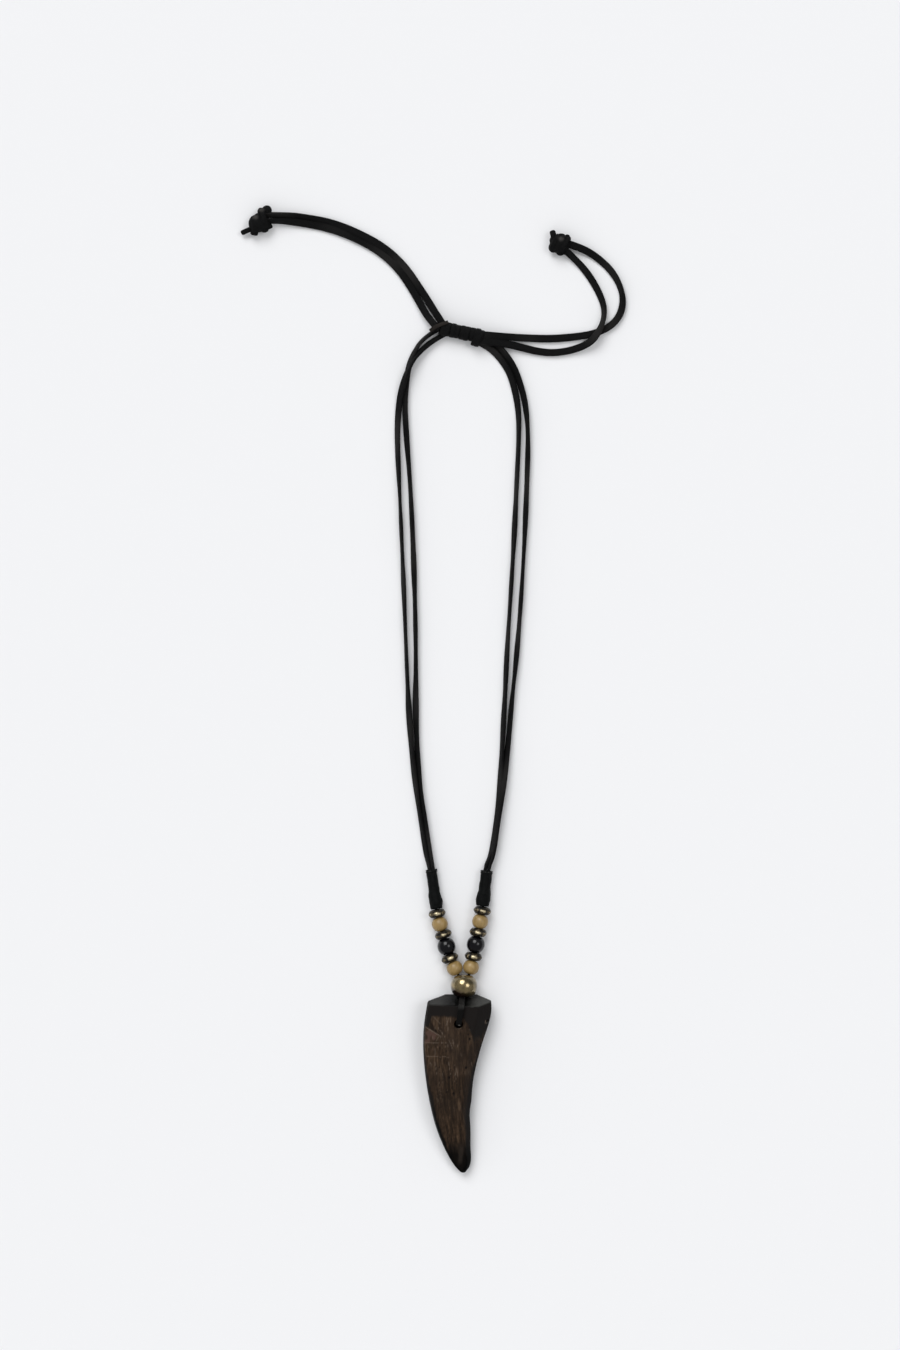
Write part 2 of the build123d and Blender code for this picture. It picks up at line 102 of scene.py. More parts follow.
def fix_normals(mesh, weld=0.0):
    """Joins points that are nearer than weld, and turns every face of a closed mesh outwards."""
    work = bmesh.new()
    work.from_mesh(mesh)
    if weld:
        bmesh.ops.remove_doubles(work, verts=work.verts, dist=weld)
    bmesh.ops.recalc_face_normals(work, faces=work.faces)
    work.to_mesh(mesh)
    work.free()


def mesh_from_grid(grid, spans=(1.0, 1.0)):
    """Mesh of a grid of points (along, round, 3): quads between neighbours, and a fan to the middle of each
    end ring. The UV map gives the share along times spans[0] and the share round times spans[1]."""
    rows, columns = grid.shape[:2]
    points = np.concatenate([grid.reshape(-1, 3), [grid[0].mean(0), grid[-1].mean(0)]])
    row, column = np.meshgrid(np.arange(rows - 1), np.arange(columns), indexing="ij")
    ring = np.arange(columns)
    after = (ring + 1) % columns
    last_row = (rows - 1) * columns
    first = np.stack([np.full(columns, rows * columns), after, ring], -1)
    last = np.stack([np.full(columns, rows * columns + 1), last_row + ring, last_row + after], -1)
    mesh = bpy.data.meshes.new("grid")
    mesh.from_pydata(points.tolist(), [], grid_quads(row, column, rows, columns) + first.tolist() + last.tolist())
    near = row / (rows - 1) * spans[0]
    far = near + spans[0] / (rows - 1)
    here, there = column / columns * spans[1], (column + 1) / columns * spans[1]
    quad_uv = np.stack([near, here, near, there, far, there, far, here], -1)
    cap_uv = np.zeros(columns * 12)
    mesh.uv_layers.new(name="lengthwise").data.foreach_set("uv", np.concatenate([quad_uv.ravel(), cap_uv]))
    mesh.shade_smooth()
    fix_normals(mesh)
    return mesh


def dress(mesh, material):
    """Gives a mesh its only material."""
    mesh.materials.clear()
    mesh.materials.append(material)


def place(name, mesh, material, slot, *replaced):
    """Object of a mesh that rides on the necklace, with its material and the solids it stands for, which it hides.
    The slot argument is not used.
    """
    piece = add_object(name, mesh)
    mesh.name = name
    dress(mesh, material)
    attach(piece, "root")
    if replaced:
        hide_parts(*replaced)
    return piece


def hold_values(mesh, name, values):
    """Stores a number at each point of a mesh for its material to read, with zeros for points past the last."""
    held = np.zeros(len(mesh.vertices), np.float32)
    held[: values.size] = values.ravel()
    mesh.attributes.new(name, "FLOAT", "POINT").data.foreach_set("value", held)


def read_points(mesh, what="co"):
    """Points of a mesh as an array, or their normals."""
    values = np.zeros(len(mesh.vertices) * 3)
    mesh.vertices.foreach_get(what, values)
    return values.reshape(-1, 3)


def unit(vector):
    """Vector of length one."""
    return vector / np.linalg.norm(vector, axis=-1, keepdims=True)


def directions(way):
    """Direction of a way, the level direction across it and the direction square to both."""
    along = unit(way)
    across = unit(np.cross(along, (0.0, 0.0, 1.0)))
    return along, across, np.cross(across, along)


def circle(count):
    """Evenly spaced angles of a whole circle."""
    return np.arange(count) / count * 2 * pi


def swung(across, up, angle):
    """Direction that is swung by an angle from across towards up."""
    return across * np.cos(angle)[..., None] + up * np.sin(angle)[..., None]


def keep_above_floor(grid):
    """Lifts the points of a grid that lie too low."""
    grid[..., 2] = np.maximum(grid[..., 2], FLOOR_CLEARANCE * MM)
    return grid


def level_way(heading):
    """Level direction with a heading in degrees."""
    return np.array([cos(radians(heading)), sin(radians(heading)), 0.0])


def ends_of(node, heading):
    """Middle of the lower and of the upper end of a solid that points along a level heading in degrees."""
    points = read_points(nodes[node].data)
    reach = points @ level_way(heading)
    near = points[reach < reach.min() + END_SLICE * MM]
    far = points[reach > reach.max() - END_SLICE * MM]
    return (near.min(0) + near.max(0)) / 2, (far.min(0) + far.max(0)) / 2


def step(value, low=0.0, high=1.0):
    """Eased step from 0 at low to 1 at high."""
    part = np.clip((value - low) / (high - low), 0, 1)
    return part * part * (3 - 2 * part)

# %% [markdown]
# Materials are built from nodes only. One node group, stretched grain, serves every finish: it stretches
# noise along one direction and gives a mask. Each material scales it and feeds its own colours.

# %% Shader helpers
# Stretch of a grain that is the same in every direction
EVEN = (1.0, 1.0, 1.0)


def add_node(owner, kind, settings=None, **inputs):
    """Node of a kind in a material or a group. Each input is named by its label, or by its number after an
    underline, and takes a value or another node's output."""
    tree = getattr(owner, "node_tree", owner)
    made = tree.nodes.new(kind)
    for setting, value in (settings or {}).items():
        setattr(made, setting, value)
    for socket, value in inputs.items():
        wanted = made.inputs[int(socket[1:]) if socket[1:].isdigit() else socket.replace("_", " ")]
        if isinstance(value, bpy.types.NodeSocket):
            tree.links.new(value, wanted)
        else:
            wanted.default_value = value
    return made


def make_grain_group():
    """Group that gives stretched noise: the coordinate is multiplied by a stretch before the noise, and the
    noise is widened about its middle by a contrast."""
    group = bpy.data.node_groups.new("stretched_grain", "ShaderNodeTree")
    for name, kind in (("Vector", "Vector"), ("Stretch", "Vector"), ("Scale", "Float"), ("Contrast", "Float")):
        group.interface.new_socket(name=name, in_out="INPUT", socket_type=f"NodeSocket{kind}")
    group.interface.new_socket(name="Mask", in_out="OUTPUT", socket_type="NodeSocketFloat")
    given = group.nodes.new("NodeGroupInput").outputs
    placed = add_node(
        group, "ShaderNodeVectorMath", {"operation": "MULTIPLY"}, _0=given["Vector"], _1=given["Stretch"],
    )
    noise = add_node(
        group, "ShaderNodeTexNoise", None, Vector=placed.outputs[0], Scale=given["Scale"], Detail=6.0, Roughness=0.6,
    )
    centred = add_node(group, "ShaderNodeMath", {"operation": "SUBTRACT"}, _0=noise.outputs["Fac"], _1=0.5)
    widened = add_node(
        group, "ShaderNodeMath", {"operation": "MULTIPLY_ADD", "use_clamp": True},
        _0=centred.outputs[0], _1=given["Contrast"], _2=0.5,
    )
    add_node(group, "NodeGroupOutput", None, Mask=widened.outputs[0])
    return group


grain_group = make_grain_group()


def start_material(name, **values):
    """Material with a Principled shader, whose named sockets take the given values."""
    look = bpy.data.materials.new(name)
    look.use_nodes = True
    for socket, value in values.items():
        look.node_tree.nodes["Principled BSDF"].inputs[socket.replace("_", " ")].default_value = value
    return look


def place_of(look, lengthwise=False):
    """Output with the object coordinates, or with the piece's own UV map."""
    if lengthwise:
        return add_node(look, "ShaderNodeUVMap", {"uv_map": "lengthwise"}).outputs["UV"]
    return add_node(look, "ShaderNodeTexCoord").outputs["Object"]


def grain(look, scale, contrast, stretch=EVEN, lengthwise=False):
    """Mask of stretched noise on a coordinate of the piece."""
    made = add_node(
        look, "ShaderNodeGroup", {"node_tree": grain_group},
        Vector=place_of(look, lengthwise), Stretch=stretch, Scale=scale, Contrast=contrast,
    )
    return made.outputs["Mask"]


def attribute(look, name):
    """Output with a value that the mesh holds at each point."""
    return add_node(look, "ShaderNodeAttribute", {"attribute_name": name}).outputs["Fac"]


def ramp(look, mask, *stops):
    """Colour ramp: each stop is a position and a colour."""
    made = add_node(look, "ShaderNodeValToRGB", None, Fac=mask)
    elements = made.color_ramp.elements
    while len(elements) < len(stops):
        elements.new(0.5)
    for element, (position, colour) in zip(elements, stops):
        element.position = position
        element.color = (*colour, 1.0)
    return made.outputs["Color"]


def blend(look, mask, low, high):
    """Colour that goes from low to high with the mask. Each is a colour or another node's output."""
    low, high = (end if isinstance(end, bpy.types.NodeSocket) else (*end, 1.0) for end in (low, high))
    return add_node(look, "ShaderNodeMix", {"data_type": "RGBA"}, _0=mask, _6=low, _7=high).outputs[2]


def spread(look, mask, low=0.0, high=1.0, **ends):
    """Number that goes from low to high with the mask, or between other ends of the mask."""
    return add_node(look, "ShaderNodeMapRange", None, Value=mask, To_Min=low, To_Max=high, **ends).outputs["Result"]


def wire(look, output, socket):
    """Feeds an output into a named socket of the material's Principled shader."""
    look.node_tree.links.new(output, look.node_tree.nodes["Principled BSDF"].inputs[socket])


def finish(look, colour, roughness, relief):
    """Feeds the shader with a colour, a roughness (mask, low, high) and a bump (height mask, depth in metres)."""
    wire(look, colour, "Base Color")
    wire(look, spread(look, *roughness), "Roughness")
    bump = add_node(look, "ShaderNodeBump", None, Height=relief[0], Distance=relief[1], Strength=1.0)
    wire(look, bump.outputs["Normal"], "Normal")
    return look

# %% [markdown]
# The lace is soft black leather or suede with hardly any shine: near black, a little lighter where the nap
# stands up, with fibres that run lengthwise. The fibres follow the piece's own UV map, so they turn with the
# lace where it bends.

# %% Lace and thread finishes
def lace_finish():
    """Black lace: lengthwise fibres lighten the colour and raise the surface a little. It is greyer where the piece
    holds a painted sheen."""
    look = start_material("black_lace", Roughness=0.62, Specular_IOR_Level=0.07)
    fibres = grain(look, 30.0, 1.8, (1.0, 14.0, 1.0), lengthwise=True)
    nap = grain(look, 900.0, 1.6)
    colour = ramp(look, fibres, (0.3, (0.001, 0.001, 0.001)), (0.88, (0.014, 0.014, 0.0145)))
    # Painted sheen: greyer where the piece holds it.
    colour = blend(look, attribute(look, "worn"), colour, (0.05, 0.047, 0.045))
    return finish(look, colour, (nap, 0.5, 0.78), (fibres, 0.00012))


def thread_finish():
    """Waxed black thread: near black, with a soft shine and fine fibres, and pale where a stitch is held."""
    look = start_material("black_thread", Roughness=0.6, Specular_IOR_Level=0.07)
    fuzz = grain(look, 1500.0, 1.5)
    colour = ramp(look, fuzz, (0.2, (0.001, 0.0012, 0.0012)), (0.9, (0.006, 0.0066, 0.0068)))
    colour = blend(look, attribute(look, "stitch"), colour, (0.06, 0.06, 0.058))
    return finish(look, colour, (fuzz, 0.45, 0.7), (fuzz, 0.00006))


black_lace = lace_finish()
black_thread = thread_finish()

# %% [markdown]
# The laces come first. Each one is a free cord of a real length, and its route is the same list of points as
# the solid tube's, seen from above, with the lift over lying on the surface. A NURBS spline of order 3 with
# those control points gives a smooth line, and the flat lace is a rounded section carried along it. The lace
# turns about its own line as it goes, so each one has a short table of how far along and how far it stands
# on edge, because that turn is what makes it look narrow in the neck stretch and wide at the free ends.

# %% Lace routes
LACE_WIDTH = 3.0
LACE_THICK = 1.25
# Height of the line of a lace that lies on the surface
LACE_REST = 0.9
# How far a neck lace reaches into its sleeve, and how far it goes on straight
SOCKET_DEPTH = 3.0
LACE_STRAIGHT = 1.5
SLEEVE_HEADINGS = {"left": 97.0, "right": 84.0}
# Where the two laces leave each sleeve: half their distance, its turn in degrees from level and the lower lace
LACE_PAIRS = {"left": (0.97, 45.0, "outer"), "right": (0.97, 40.0, "inner")}
# Routes: x and y, and how far a point is lifted off the surface where it is
LACE_ROUTES = {
    "left_outer_lace": [
        (-14.2, -78), (-16.2, -66), (-19, -48), (-21.1, -24), (-22.2, 0), (-23.1, 24), (-24.1, 48), (-25.2, 72),
        (-26, 90), (-25.2, 103, 0.6), (-23.4, 111, 2.6), (-20.4, 118.6, 2.6), (-16.6, 123.6, 0.9),
        (-11, 128.2, 0.4), (-6, 130.6, 0.7),
    ],
    "left_inner_lace": [
        (-12.6, -78, 1.2), (-14.6, -66, 1.2), (-17.2, -48, 0.8), (-18.6, -24), (-18.4, 0), (-18.8, 24), (-19.6, 48),
        (-20.8, 72), (-22.3, 90), (-22.9, 103), (-22, 114.4), (-20, 121.8), (-15.2, 129.2, 0.2), (-8.6, 132.6, 0.7),
    ],
    "right_inner_lace": [
        (11.3, -78.8), (12.9, -71.2), (14.4, -60), (15.4, -48), (16.3, -30), (17.2, -14), (18, 4), (19.3, 24),
        (20.8, 48), (21.9, 72), (22.8, 90), (22.5, 102), (19.8, 113.3), (16.4, 119.1), (12.4, 123.7),
        (8.7, 126, 0.3), (5, 127.8, 0.6),
    ],
    "right_outer_lace": [
        (12.3, -78.8, 2), (13.3, -71.2, 2.2), (15, -60, 2.2), (16.8, -48, 1.8), (18.6, -32, 0.5), (19.8, -17),
        (21.7, 0), (23.6, 24), (25, 48), (26, 72), (26.5, 90), (25.4, 103), (22, 114.6), (18.4, 120.9),
        (14.2, 125.5), (11, 127.7, 0.3), (8, 129.1, 0.6),
    ],
    "left_tail_upper_lace": [
        (-6.1, 131.9, 2.9), (-9.9, 137.3, 2.6), (-13.3, 143, 0.5), (-17.3, 149.3), (-22.7, 157.3), (-30.8, 164.8),
        (-41.1, 170.6), (-51.3, 174.7), (-62.9, 176.9, 0.4), (-72, 177.7, 1.6), (-79, 177.6, 2.4),
    ],
    "left_tail_lower_lace": [
        (-9.2, 131.6, 3), (-13.4, 136.4, 2.5), (-16.2, 141.4, 0.5), (-19.7, 147.9), (-24.7, 155.6), (-32.2, 162.8),
        (-42.1, 168.4), (-51.9, 172.3), (-63.1, 174.5, 0.4), (-72, 175.4, 1.6), (-79, 175.2, 2.4),
    ],
    "right_tail_upper_lace": [
        (6, 129.9, 3), (12.2, 129.4, 2.8), (18, 129.1, 1.2), (25, 128.7), (36, 128.3), (47.8, 129.4), (54.8, 131),
        (60.6, 134.2), (64, 139.4), (64.4, 146.4), (60.6, 154.9), (53.6, 161.4, 0.3), (46.6, 165, 1.5),
        (40, 166.8, 2.6),
    ],
    "right_tail_lower_lace": [
        (6, 127.7, 3), (12.2, 126.8, 2.8), (18, 126.2, 1.6), (24.3, 124.8, 0.3), (30.2, 123.3), (36.5, 122.7),
        (43, 123.6), (48.6, 125.4, 0.8), (52.8, 128.1, 2.6), (56.2, 134.2, 2.6), (57.1, 140.4, 0.6), (54.8, 147),
        (50.4, 154.4), (45.2, 160.2, 1.2), (40, 164.6, 2.6),
    ],
}
# Turn about the lace's own line: share of the length, and degrees from lying flat to standing on edge
LACE_TURNS = {
    "left_outer_lace": [
        (0, 84), (0.06, 66), (0.2, 57), (0.29, 57), (0.36, 72), (0.6, 76), (0.75, 68), (0.86, 40), (0.93, 56),
        (1, 66),
    ],
    "left_inner_lace": [
        (0, 84), (0.06, 68), (0.2, 57), (0.29, 57), (0.36, 68), (0.5, 66), (0.78, 64), (0.9, 52), (1, 66),
    ],
    "right_inner_lace": [
        (0, 78), (0.08, 60), (0.24, 57), (0.29, 58), (0.35, 72), (0.6, 70), (0.8, 62), (0.92, 46), (1, 50),
    ],
    "right_outer_lace": [
        (0, 78), (0.08, 55), (0.24, 56), (0.29, 58), (0.35, 72), (0.6, 72), (0.8, 62), (0.92, 46), (1, 50),
    ],
    "left_tail_upper_lace": [(0, 56), (0.08, 30), (0.16, 2), (0.7, 6), (0.84, 30), (0.93, 52), (1, 58)],
    "left_tail_lower_lace": [(0, 56), (0.08, 30), (0.16, 2), (0.55, -8), (0.8, 20), (0.93, 50), (1, 58)],
    "right_tail_upper_lace": [(0, 10), (0.25, 6), (0.45, 2), (0.58, 40), (0.68, 62), (0.8, 30), (1, 12)],
    "right_tail_lower_lace": [
        (0, 10), (0.2, 15), (0.35, 4), (0.5, 22), (0.62, 66), (0.76, 44), (0.9, 40), (1, 20),
    ],
}
# Real length of each lace between its ends, in metres
LACE_LENGTHS = {
    "left_outer_lace": 0.226, "left_inner_lace": 0.225, "right_inner_lace": 0.223, "right_outer_lace": 0.224,
    "left_tail_upper_lace": 0.092, "left_tail_lower_lace": 0.089,
    "right_tail_upper_lace": 0.102, "right_tail_lower_lace": 0.092,
}
# Distance between the points that are read from a lace's line
LACE_SPACING = 0.5
# The lace's section: points round it, and the exponents that square off its edges and its faces
SECTION_POINTS = 20
EDGE_POWER = 0.45
FACE_POWER = 0.6


def sleeve_start(name):
    """First two points of a neck lace: at the bottom of its socket in the sleeve, and just past the top."""
    side, which = name.split("_")[:2]
    low, high = ends_of(f"{side}_whipping", SLEEVE_HEADINGS[side])
    along, across, _ = directions(high - low)
    reach, turn, lower = LACE_PAIRS[side]
    offset = across * reach * cos(radians(turn)) + np.array([0.0, 0.0, reach * sin(radians(turn))])
    seat = high + offset * MM * (-1 if which == lower else 1)
    return [seat - along * SOCKET_DEPTH * MM, seat + along * LACE_STRAIGHT * MM]


def spline_points(controls, spacing=LACE_SPACING):
    """Evenly spaced points of the NURBS spline of order 3 that has these control points."""
    curve = bpy.data.curves.new("route", "CURVE")
    curve.dimensions = "3D"
    curve.resolution_u = 24
    spline = curve.splines.new("NURBS")
    spline.points.add(len(controls) - 1)
    spline.points.foreach_set("co", np.column_stack([np.array(controls), np.ones(len(controls))]).ravel())
    spline.order_u = 3
    spline.use_endpoint_u = True
    line = add_object("route", curve)
    read = bpy.data.meshes.new_from_object(line)
    points = read_points(read)
    bpy.data.objects.remove(line)
    bpy.data.curves.remove(curve)
    bpy.data.meshes.remove(read)
    reach = np.concatenate([[0.0], np.cumsum(np.linalg.norm(np.diff(points, axis=0), axis=1))])
    stations = np.linspace(0.0, reach[-1], max(8, int(reach[-1] / (spacing * MM))))
    return np.stack([np.interp(stations, reach, points[:, i]) for i in range(3)], -1)


def smooth_steps(share, stations):
    """Value at each share along, eased between the stations of a table."""
    shares, values = np.array(stations, float).T
    after = np.clip(np.searchsorted(shares, share, side="right"), 1, len(shares) - 1)
    eased = step(share, shares[after - 1], shares[after])
    return values[after - 1] + (values[after] - values[after - 1]) * eased


def carried_section(across, up, width, thick):
    """Rounded flat section at each point of a path, as far as it stands out from the path:
    across * width / 2 * cos^power + up * thick / 2 * sin^power, with the signs kept."""
    angle = ((np.arange(SECTION_POINTS) + 0.5) / SECTION_POINTS * 2 * pi)[:, None]
    wide, tall = (np.broadcast_to(size, len(across))[:, None, None] / 2 for size in (width, thick))
    edges = wide * np.sign(np.cos(angle)) * np.abs(np.cos(angle)) ** EDGE_POWER
    faces = tall * np.sign(np.sin(angle)) * np.abs(np.sin(angle)) ** FACE_POWER
    return across[:, None] * edges + up[:, None] * faces


def carry_flat(path, turn, width, thick):
    """Grid of a flat section carried along a path and turned about it, and the path, both raised where the
    section would meet the floor."""
    _, across, up = directions(np.gradient(path, axis=0))
    offsets = carried_section(swung(across, up, turn), swung(up, -across, turn), width, thick)
    raised = path.copy()
    raised[:, 2] += np.maximum(0.0, FLOOR_CLEARANCE * MM - path[:, 2] - offsets[:, :, 2].min(1))
    return raised[:, None, :] + offsets, raised


def make_lace(name, seed):
    """Flat lace along its route, with small uneven turns, widths and patches of painted sheen that its seed sets."""
    controls = [np.array([x, y, LACE_REST + sum(lift)]) * MM for x, y, *lift in LACE_ROUTES[name]]
    if "tail" not in name:
        controls = sleeve_start(name) + controls
    path = spline_points(controls)
    share = np.linspace(0.0, 1.0, len(path))
    along = share * len(path) * LACE_SPACING
    waves = np.random.default_rng(seed).uniform(0, 2 * pi, 4)
    # Slow waves along the lace: how far each one goes, and the length in mm over which it turns by a radian
    wobble = 7 * np.sin(along / 9.0 + waves[0]) + 4 * np.sin(along / 4.1 + waves[1])
    turn = np.radians(smooth_steps(share, LACE_TURNS[name]) + wobble)
    width = LACE_WIDTH * (1 + 0.03 * np.sin(along / 5.3 + waves[2])) * MM
    thick = LACE_THICK * (1 + 0.06 * np.sin(along / 3.1 + waves[3])) * MM
    grid, followed = carry_flat(path, turn, width, thick)
    mesh = mesh_from_grid(grid, spans=(LACE_LENGTHS[name] * 100, 1.0))
    # Patches of painted sheen that come and go along the lace.
    worn = 0.25 * np.clip(np.sin(along / 6.3 + waves[1]) * np.sin(along / 17.0 + waves[2]), 0, 1)
    hold_values(mesh, "worn", np.repeat(worn, grid.shape[1]))
    return place(f"{name}_flat", mesh, black_lace, "black_lace", name), followed


laces = {name: make_lace(name, seed) for seed, name in enumerate(LACE_ROUTES)}
for name, (_, path) in laces.items():
    print(name, "spline", round(float(np.linalg.norm(np.diff(path, axis=0), axis=1).sum()) / MM, 1), "mm")

# %% [markdown]
# The sliding knot is a lace wound eight times round the strands and drawn tight. A helix about the knot's axis
# carries the flat section, and each turn has its own small lean and size so that the row isn't machine even.
# Two wider turns make the collar at the right end, and a browned end crosses over the left one.

# %% Slide knot
SLIDE_START = (-10.0, 132.8, 2.9)
SLIDE_END = (9.0, 128.9, 2.9)
# Turns, radii across and up, and the section's width and thickness
WRAPS = (8, (2.2, 2.2), (2.1, 1.3))
COLLAR = (2.1, (2.75, 2.3), (2.1, 1.5))
# How far inside the knot's ends the wraps lie, and how far from its right end the collar's ends lie
WRAPS_INSIDE = (1.0, 2.6)
COLLAR_INSIDE = (3.9, 1.9)
COLLAR_DROP = 1.0
# Points of each turn of a winding
TURN_STEPS = 44
# Centre line of the browned end, its width and thickness, and its lean in radians
CROSSING = [(-12.6, 131.4, 3.4), (-11.0, 132.7, 5.0), (-8.0, 133.9, 6.0), (-5.6, 134.7, 5.0)]
CROSSING_SECTION = (1.5, 0.8)
CROSSING_LEAN = 0.1


def carry_wrap(path, outward, section):
    """Grid of a flat section carried along a path with its thin direction outwards."""
    along = unit(np.gradient(path, axis=0))
    outward = unit(outward - (outward * along).sum(1, keepdims=True) * along)
    return keep_above_floor(path[:, None] + carried_section(np.cross(along, outward), outward, *section))


def wound(start, end, turns, radii, section, seed, lean=0.0, taper=0.0):
    """Lace wound round an axis: start + way * share + (across * cos + up * sin) * radius, as the angle grows
    by a whole circle each turn, with a slow uneven change of radius and place. Lean slants the turns along
    the axis, and taper is the share by which the radius shrinks towards the end."""
    start, end, radii, section = (np.array(size) * MM for size in (start, end, radii, section))
    along, across, up = directions(end - start)
    share = np.linspace(0.0, 1.0, int(turns * TURN_STEPS))
    angle = share * turns * 2 * pi + pi
    waves = np.random.default_rng(seed).uniform(0, 2 * pi, 3)
    swell = 1 + 0.05 * np.sin(angle / 2.7 + waves[0]) + 0.03 * np.sin(angle / 1.3 + waves[1])
    swell = swell * (1 - taper * share)
    shift = 0.12 * np.sin(angle / 1.9 + waves[2]) + lean * np.cos(angle)
    around = swung(across * radii[0], up * radii[1], angle)
    path = start + (end - start) * share[:, None] + along * (shift * MM)[:, None] + around * swell[:, None]
    return mesh_from_grid(carry_wrap(path, around, section), spans=(turns * 2.0, 1.0))


def join_meshes(meshes):
    """One mesh of several."""
    work = bmesh.new()
    for mesh in meshes:
        work.from_mesh(mesh)
        bpy.data.meshes.remove(mesh)
    joined = bpy.data.meshes.new("joined")
    work.to_mesh(joined)
    work.free()
    joined.shade_smooth()
    return joined


slide_start, slide_end = np.array(SLIDE_START), np.array(SLIDE_END)
slide_way = unit(slide_end - slide_start)
wraps_ends = slide_start + slide_way * WRAPS_INSIDE[0], slide_end - slide_way * WRAPS_INSIDE[1]
collar_ends = [slide_end - slide_way * inside - (0.0, COLLAR_DROP, 0.0) for inside in COLLAR_INSIDE]
slide_mesh = join_meshes([wound(*wraps_ends, *WRAPS, 11, lean=0.25), wound(*collar_ends, *COLLAR, 12, lean=-0.5)])
slide_knot = place("slide_knot_wound", slide_mesh, black_lace, "black_lace", "slide_knot")
crossing = spline_points(np.array(CROSSING) * MM, 0.25)
crossing_lean = np.full(len(crossing), CROSSING_LEAN)
crossing_grid, _ = carry_flat(crossing, crossing_lean, *(size * MM for size in CROSSING_SECTION))
browned = start_material("browned_lace", Roughness=0.6, Specular_IOR_Level=0.1)
browned_fibres = grain(browned, 20.0, 2.0, (1.0, 8.0, 1.0), lengthwise=True)
browned_colour = ramp(browned, browned_fibres, (0.2, (0.004, 0.0034, 0.003)), (0.8, (0.03, 0.0245, 0.0215)))
wire(browned, browned_colour, "Base Color")
place("slide_knot_crossing", mesh_from_grid(crossing_grid, (4.0, 1.0)), browned, "black_lace")
print("slide knot faces", len(slide_knot.data.polygons))

# %% [markdown]
# Each end knot is lace pulled tight round the pair of tails, so it is built as the same winding as the sliding
# knot, only thicker, slanting and smaller towards its far end. Rounded lumps are the last tuck showing through
# and the cut ends stick out as short stubs: each is a flat section whose width closes in a blunt nose.

# %% End knots
# Axis of the turns from the tails outwards, radii across and up, taper and number of turns. Then the lumps, each a
# middle and three half sizes, the spots of painted sheen, and the stubs, each two points with a width and a
# thickness
END_KNOTS = {
    "left": {
        "axis": ((-77.7, 176.2, 3.2), (-84, 173.3, 3.1)), "radii": (3.3, 2.2), "taper": 0.3, "turns": 3.3,
        "lumps": [((-81, 174.4, 3.1), (4.3, 3.7, 2.8)), ((-77.9, 179.5, 3.2), (2, 2, 1.8)),
                  ((-80.3, 179, 3.1), (1.4, 1.6, 1.4)), ((-83.3, 175, 2.9), (1.5, 1.4, 1.4)),
                  ((-78.9, 172.2, 2.8), (1.8, 1.6, 1.6))],
        "worn": [(-80, 179.6), (-82.4, 176.6)],
        "stubs": [((-83.6, 172.4, 2.4), (-88.2, 170.5, 1.7), 2, 1.5),
                  ((-82.6, 173, 2.6), (-83.2, 169.7, 2.1), 3, 2.4)],
    },
    "right": {
        "axis": ((42.2, 165.4, 3.2), (36.8, 166.8, 3.1)), "radii": (3, 2.2), "taper": 0.1, "turns": 3,
        "lumps": [((38.9, 165.9, 3.1), (4, 3.7, 2.7)), ((39.6, 168.7, 3.3), (2, 1.6, 1.5)),
                  ((42, 168.3, 3.2), (1.3, 1.6, 1.3)), ((39.3, 162.8, 2.8), (1.8, 1.4, 1.4)),
                  ((36.5, 164.7, 2.8), (2, 2.1, 1.6)), ((36.6, 167.5, 2.9), (1.7, 1.9, 1.5))],
        "worn": [(39.5, 167.9)],
        "stubs": [((36.9, 166.6, 3.3), (36, 171.5, 2.9), 2.3, 1.7)],
    },
}
# Section and slant of the turns, half sizes of a spot of painted sheen, and lean of the stubs in degrees
KNOT_SECTION = (2.3, 1.7)
KNOT_LEAN = -0.4
PAINTED_SHEEN_SPOT = (1.1, 0.9)
STUB_LEAN = 20.0


def rounded_lump(middle, half):
    """Ellipsoid of lace: middle + half sizes times the point of a unit sphere."""
    angle = np.linspace(0.02, pi - 0.02, 14)[:, None]
    around = circle(24)[None, :]
    sphere = [np.sin(angle) * np.cos(around), np.sin(angle) * np.sin(around), np.cos(angle) + 0 * around]
    return np.array(middle) * MM + np.stack(sphere, -1) * np.array(half) * MM


def stub_grid(start, end, width, thick):
    """Short flat end whose width follows the square root of one less a high power of the place along."""
    ends = np.array([start, end]) * MM
    bend = ends.mean(0) + np.array([0.15, 0.15, 0.4]) * MM
    path = spline_points([ends[0], bend, ends[1]], 0.15)
    nose = np.sqrt(1 - np.linspace(0.0, 0.995, len(path)) ** 22)
    return carry_flat(path, np.full(len(path), radians(STUB_LEAN)), width * nose * MM, thick * nose * MM)[0]


def make_end_knot(side, facts, seed):
    """Turns, lumps and stubs of one end knot as one piece."""
    meshes = [wound(*facts["axis"], facts["turns"], facts["radii"], KNOT_SECTION, seed, KNOT_LEAN, facts["taper"])]
    meshes += [mesh_from_grid(rounded_lump(*lump)) for lump in facts["lumps"]]
    meshes += [mesh_from_grid(stub_grid(*stub)) for stub in facts["stubs"]]
    mesh = join_meshes(meshes)
    # Painted sheen: a lighter spot round each listed place on the knot.
    level = read_points(mesh)[:, :2] / MM
    away = [(((level - spot) / PAINTED_SHEEN_SPOT) ** 2).sum(1) for spot in facts["worn"]]
    hold_values(mesh, "worn", sum(np.exp(-(far**2)) for far in away))
    return place(f"{side}_end_knot_tied", mesh, black_lace, "black_lace", f"{side}_end_knot")


end_knots = {side: make_end_knot(side, facts, 60 + i) for i, (side, facts) in enumerate(END_KNOTS.items())}

# %% [markdown]
# The number of laces is printed. A neck stretch leaves its sleeve and ends in the sliding knot, a free end leaves
# the sliding knot and ends in its own knot.

# %% Cords counted
print("cords", len(laces))

# %% [markdown]
# Each sleeve is fine black thread wound tightly round the lace ends. Its outline is a short table of radii
# along its axis, and the turns of thread are a rounded ridge that climbs as it goes round: the radius gets a
# small extra that repeats with the distance along less one pitch for each full circle.

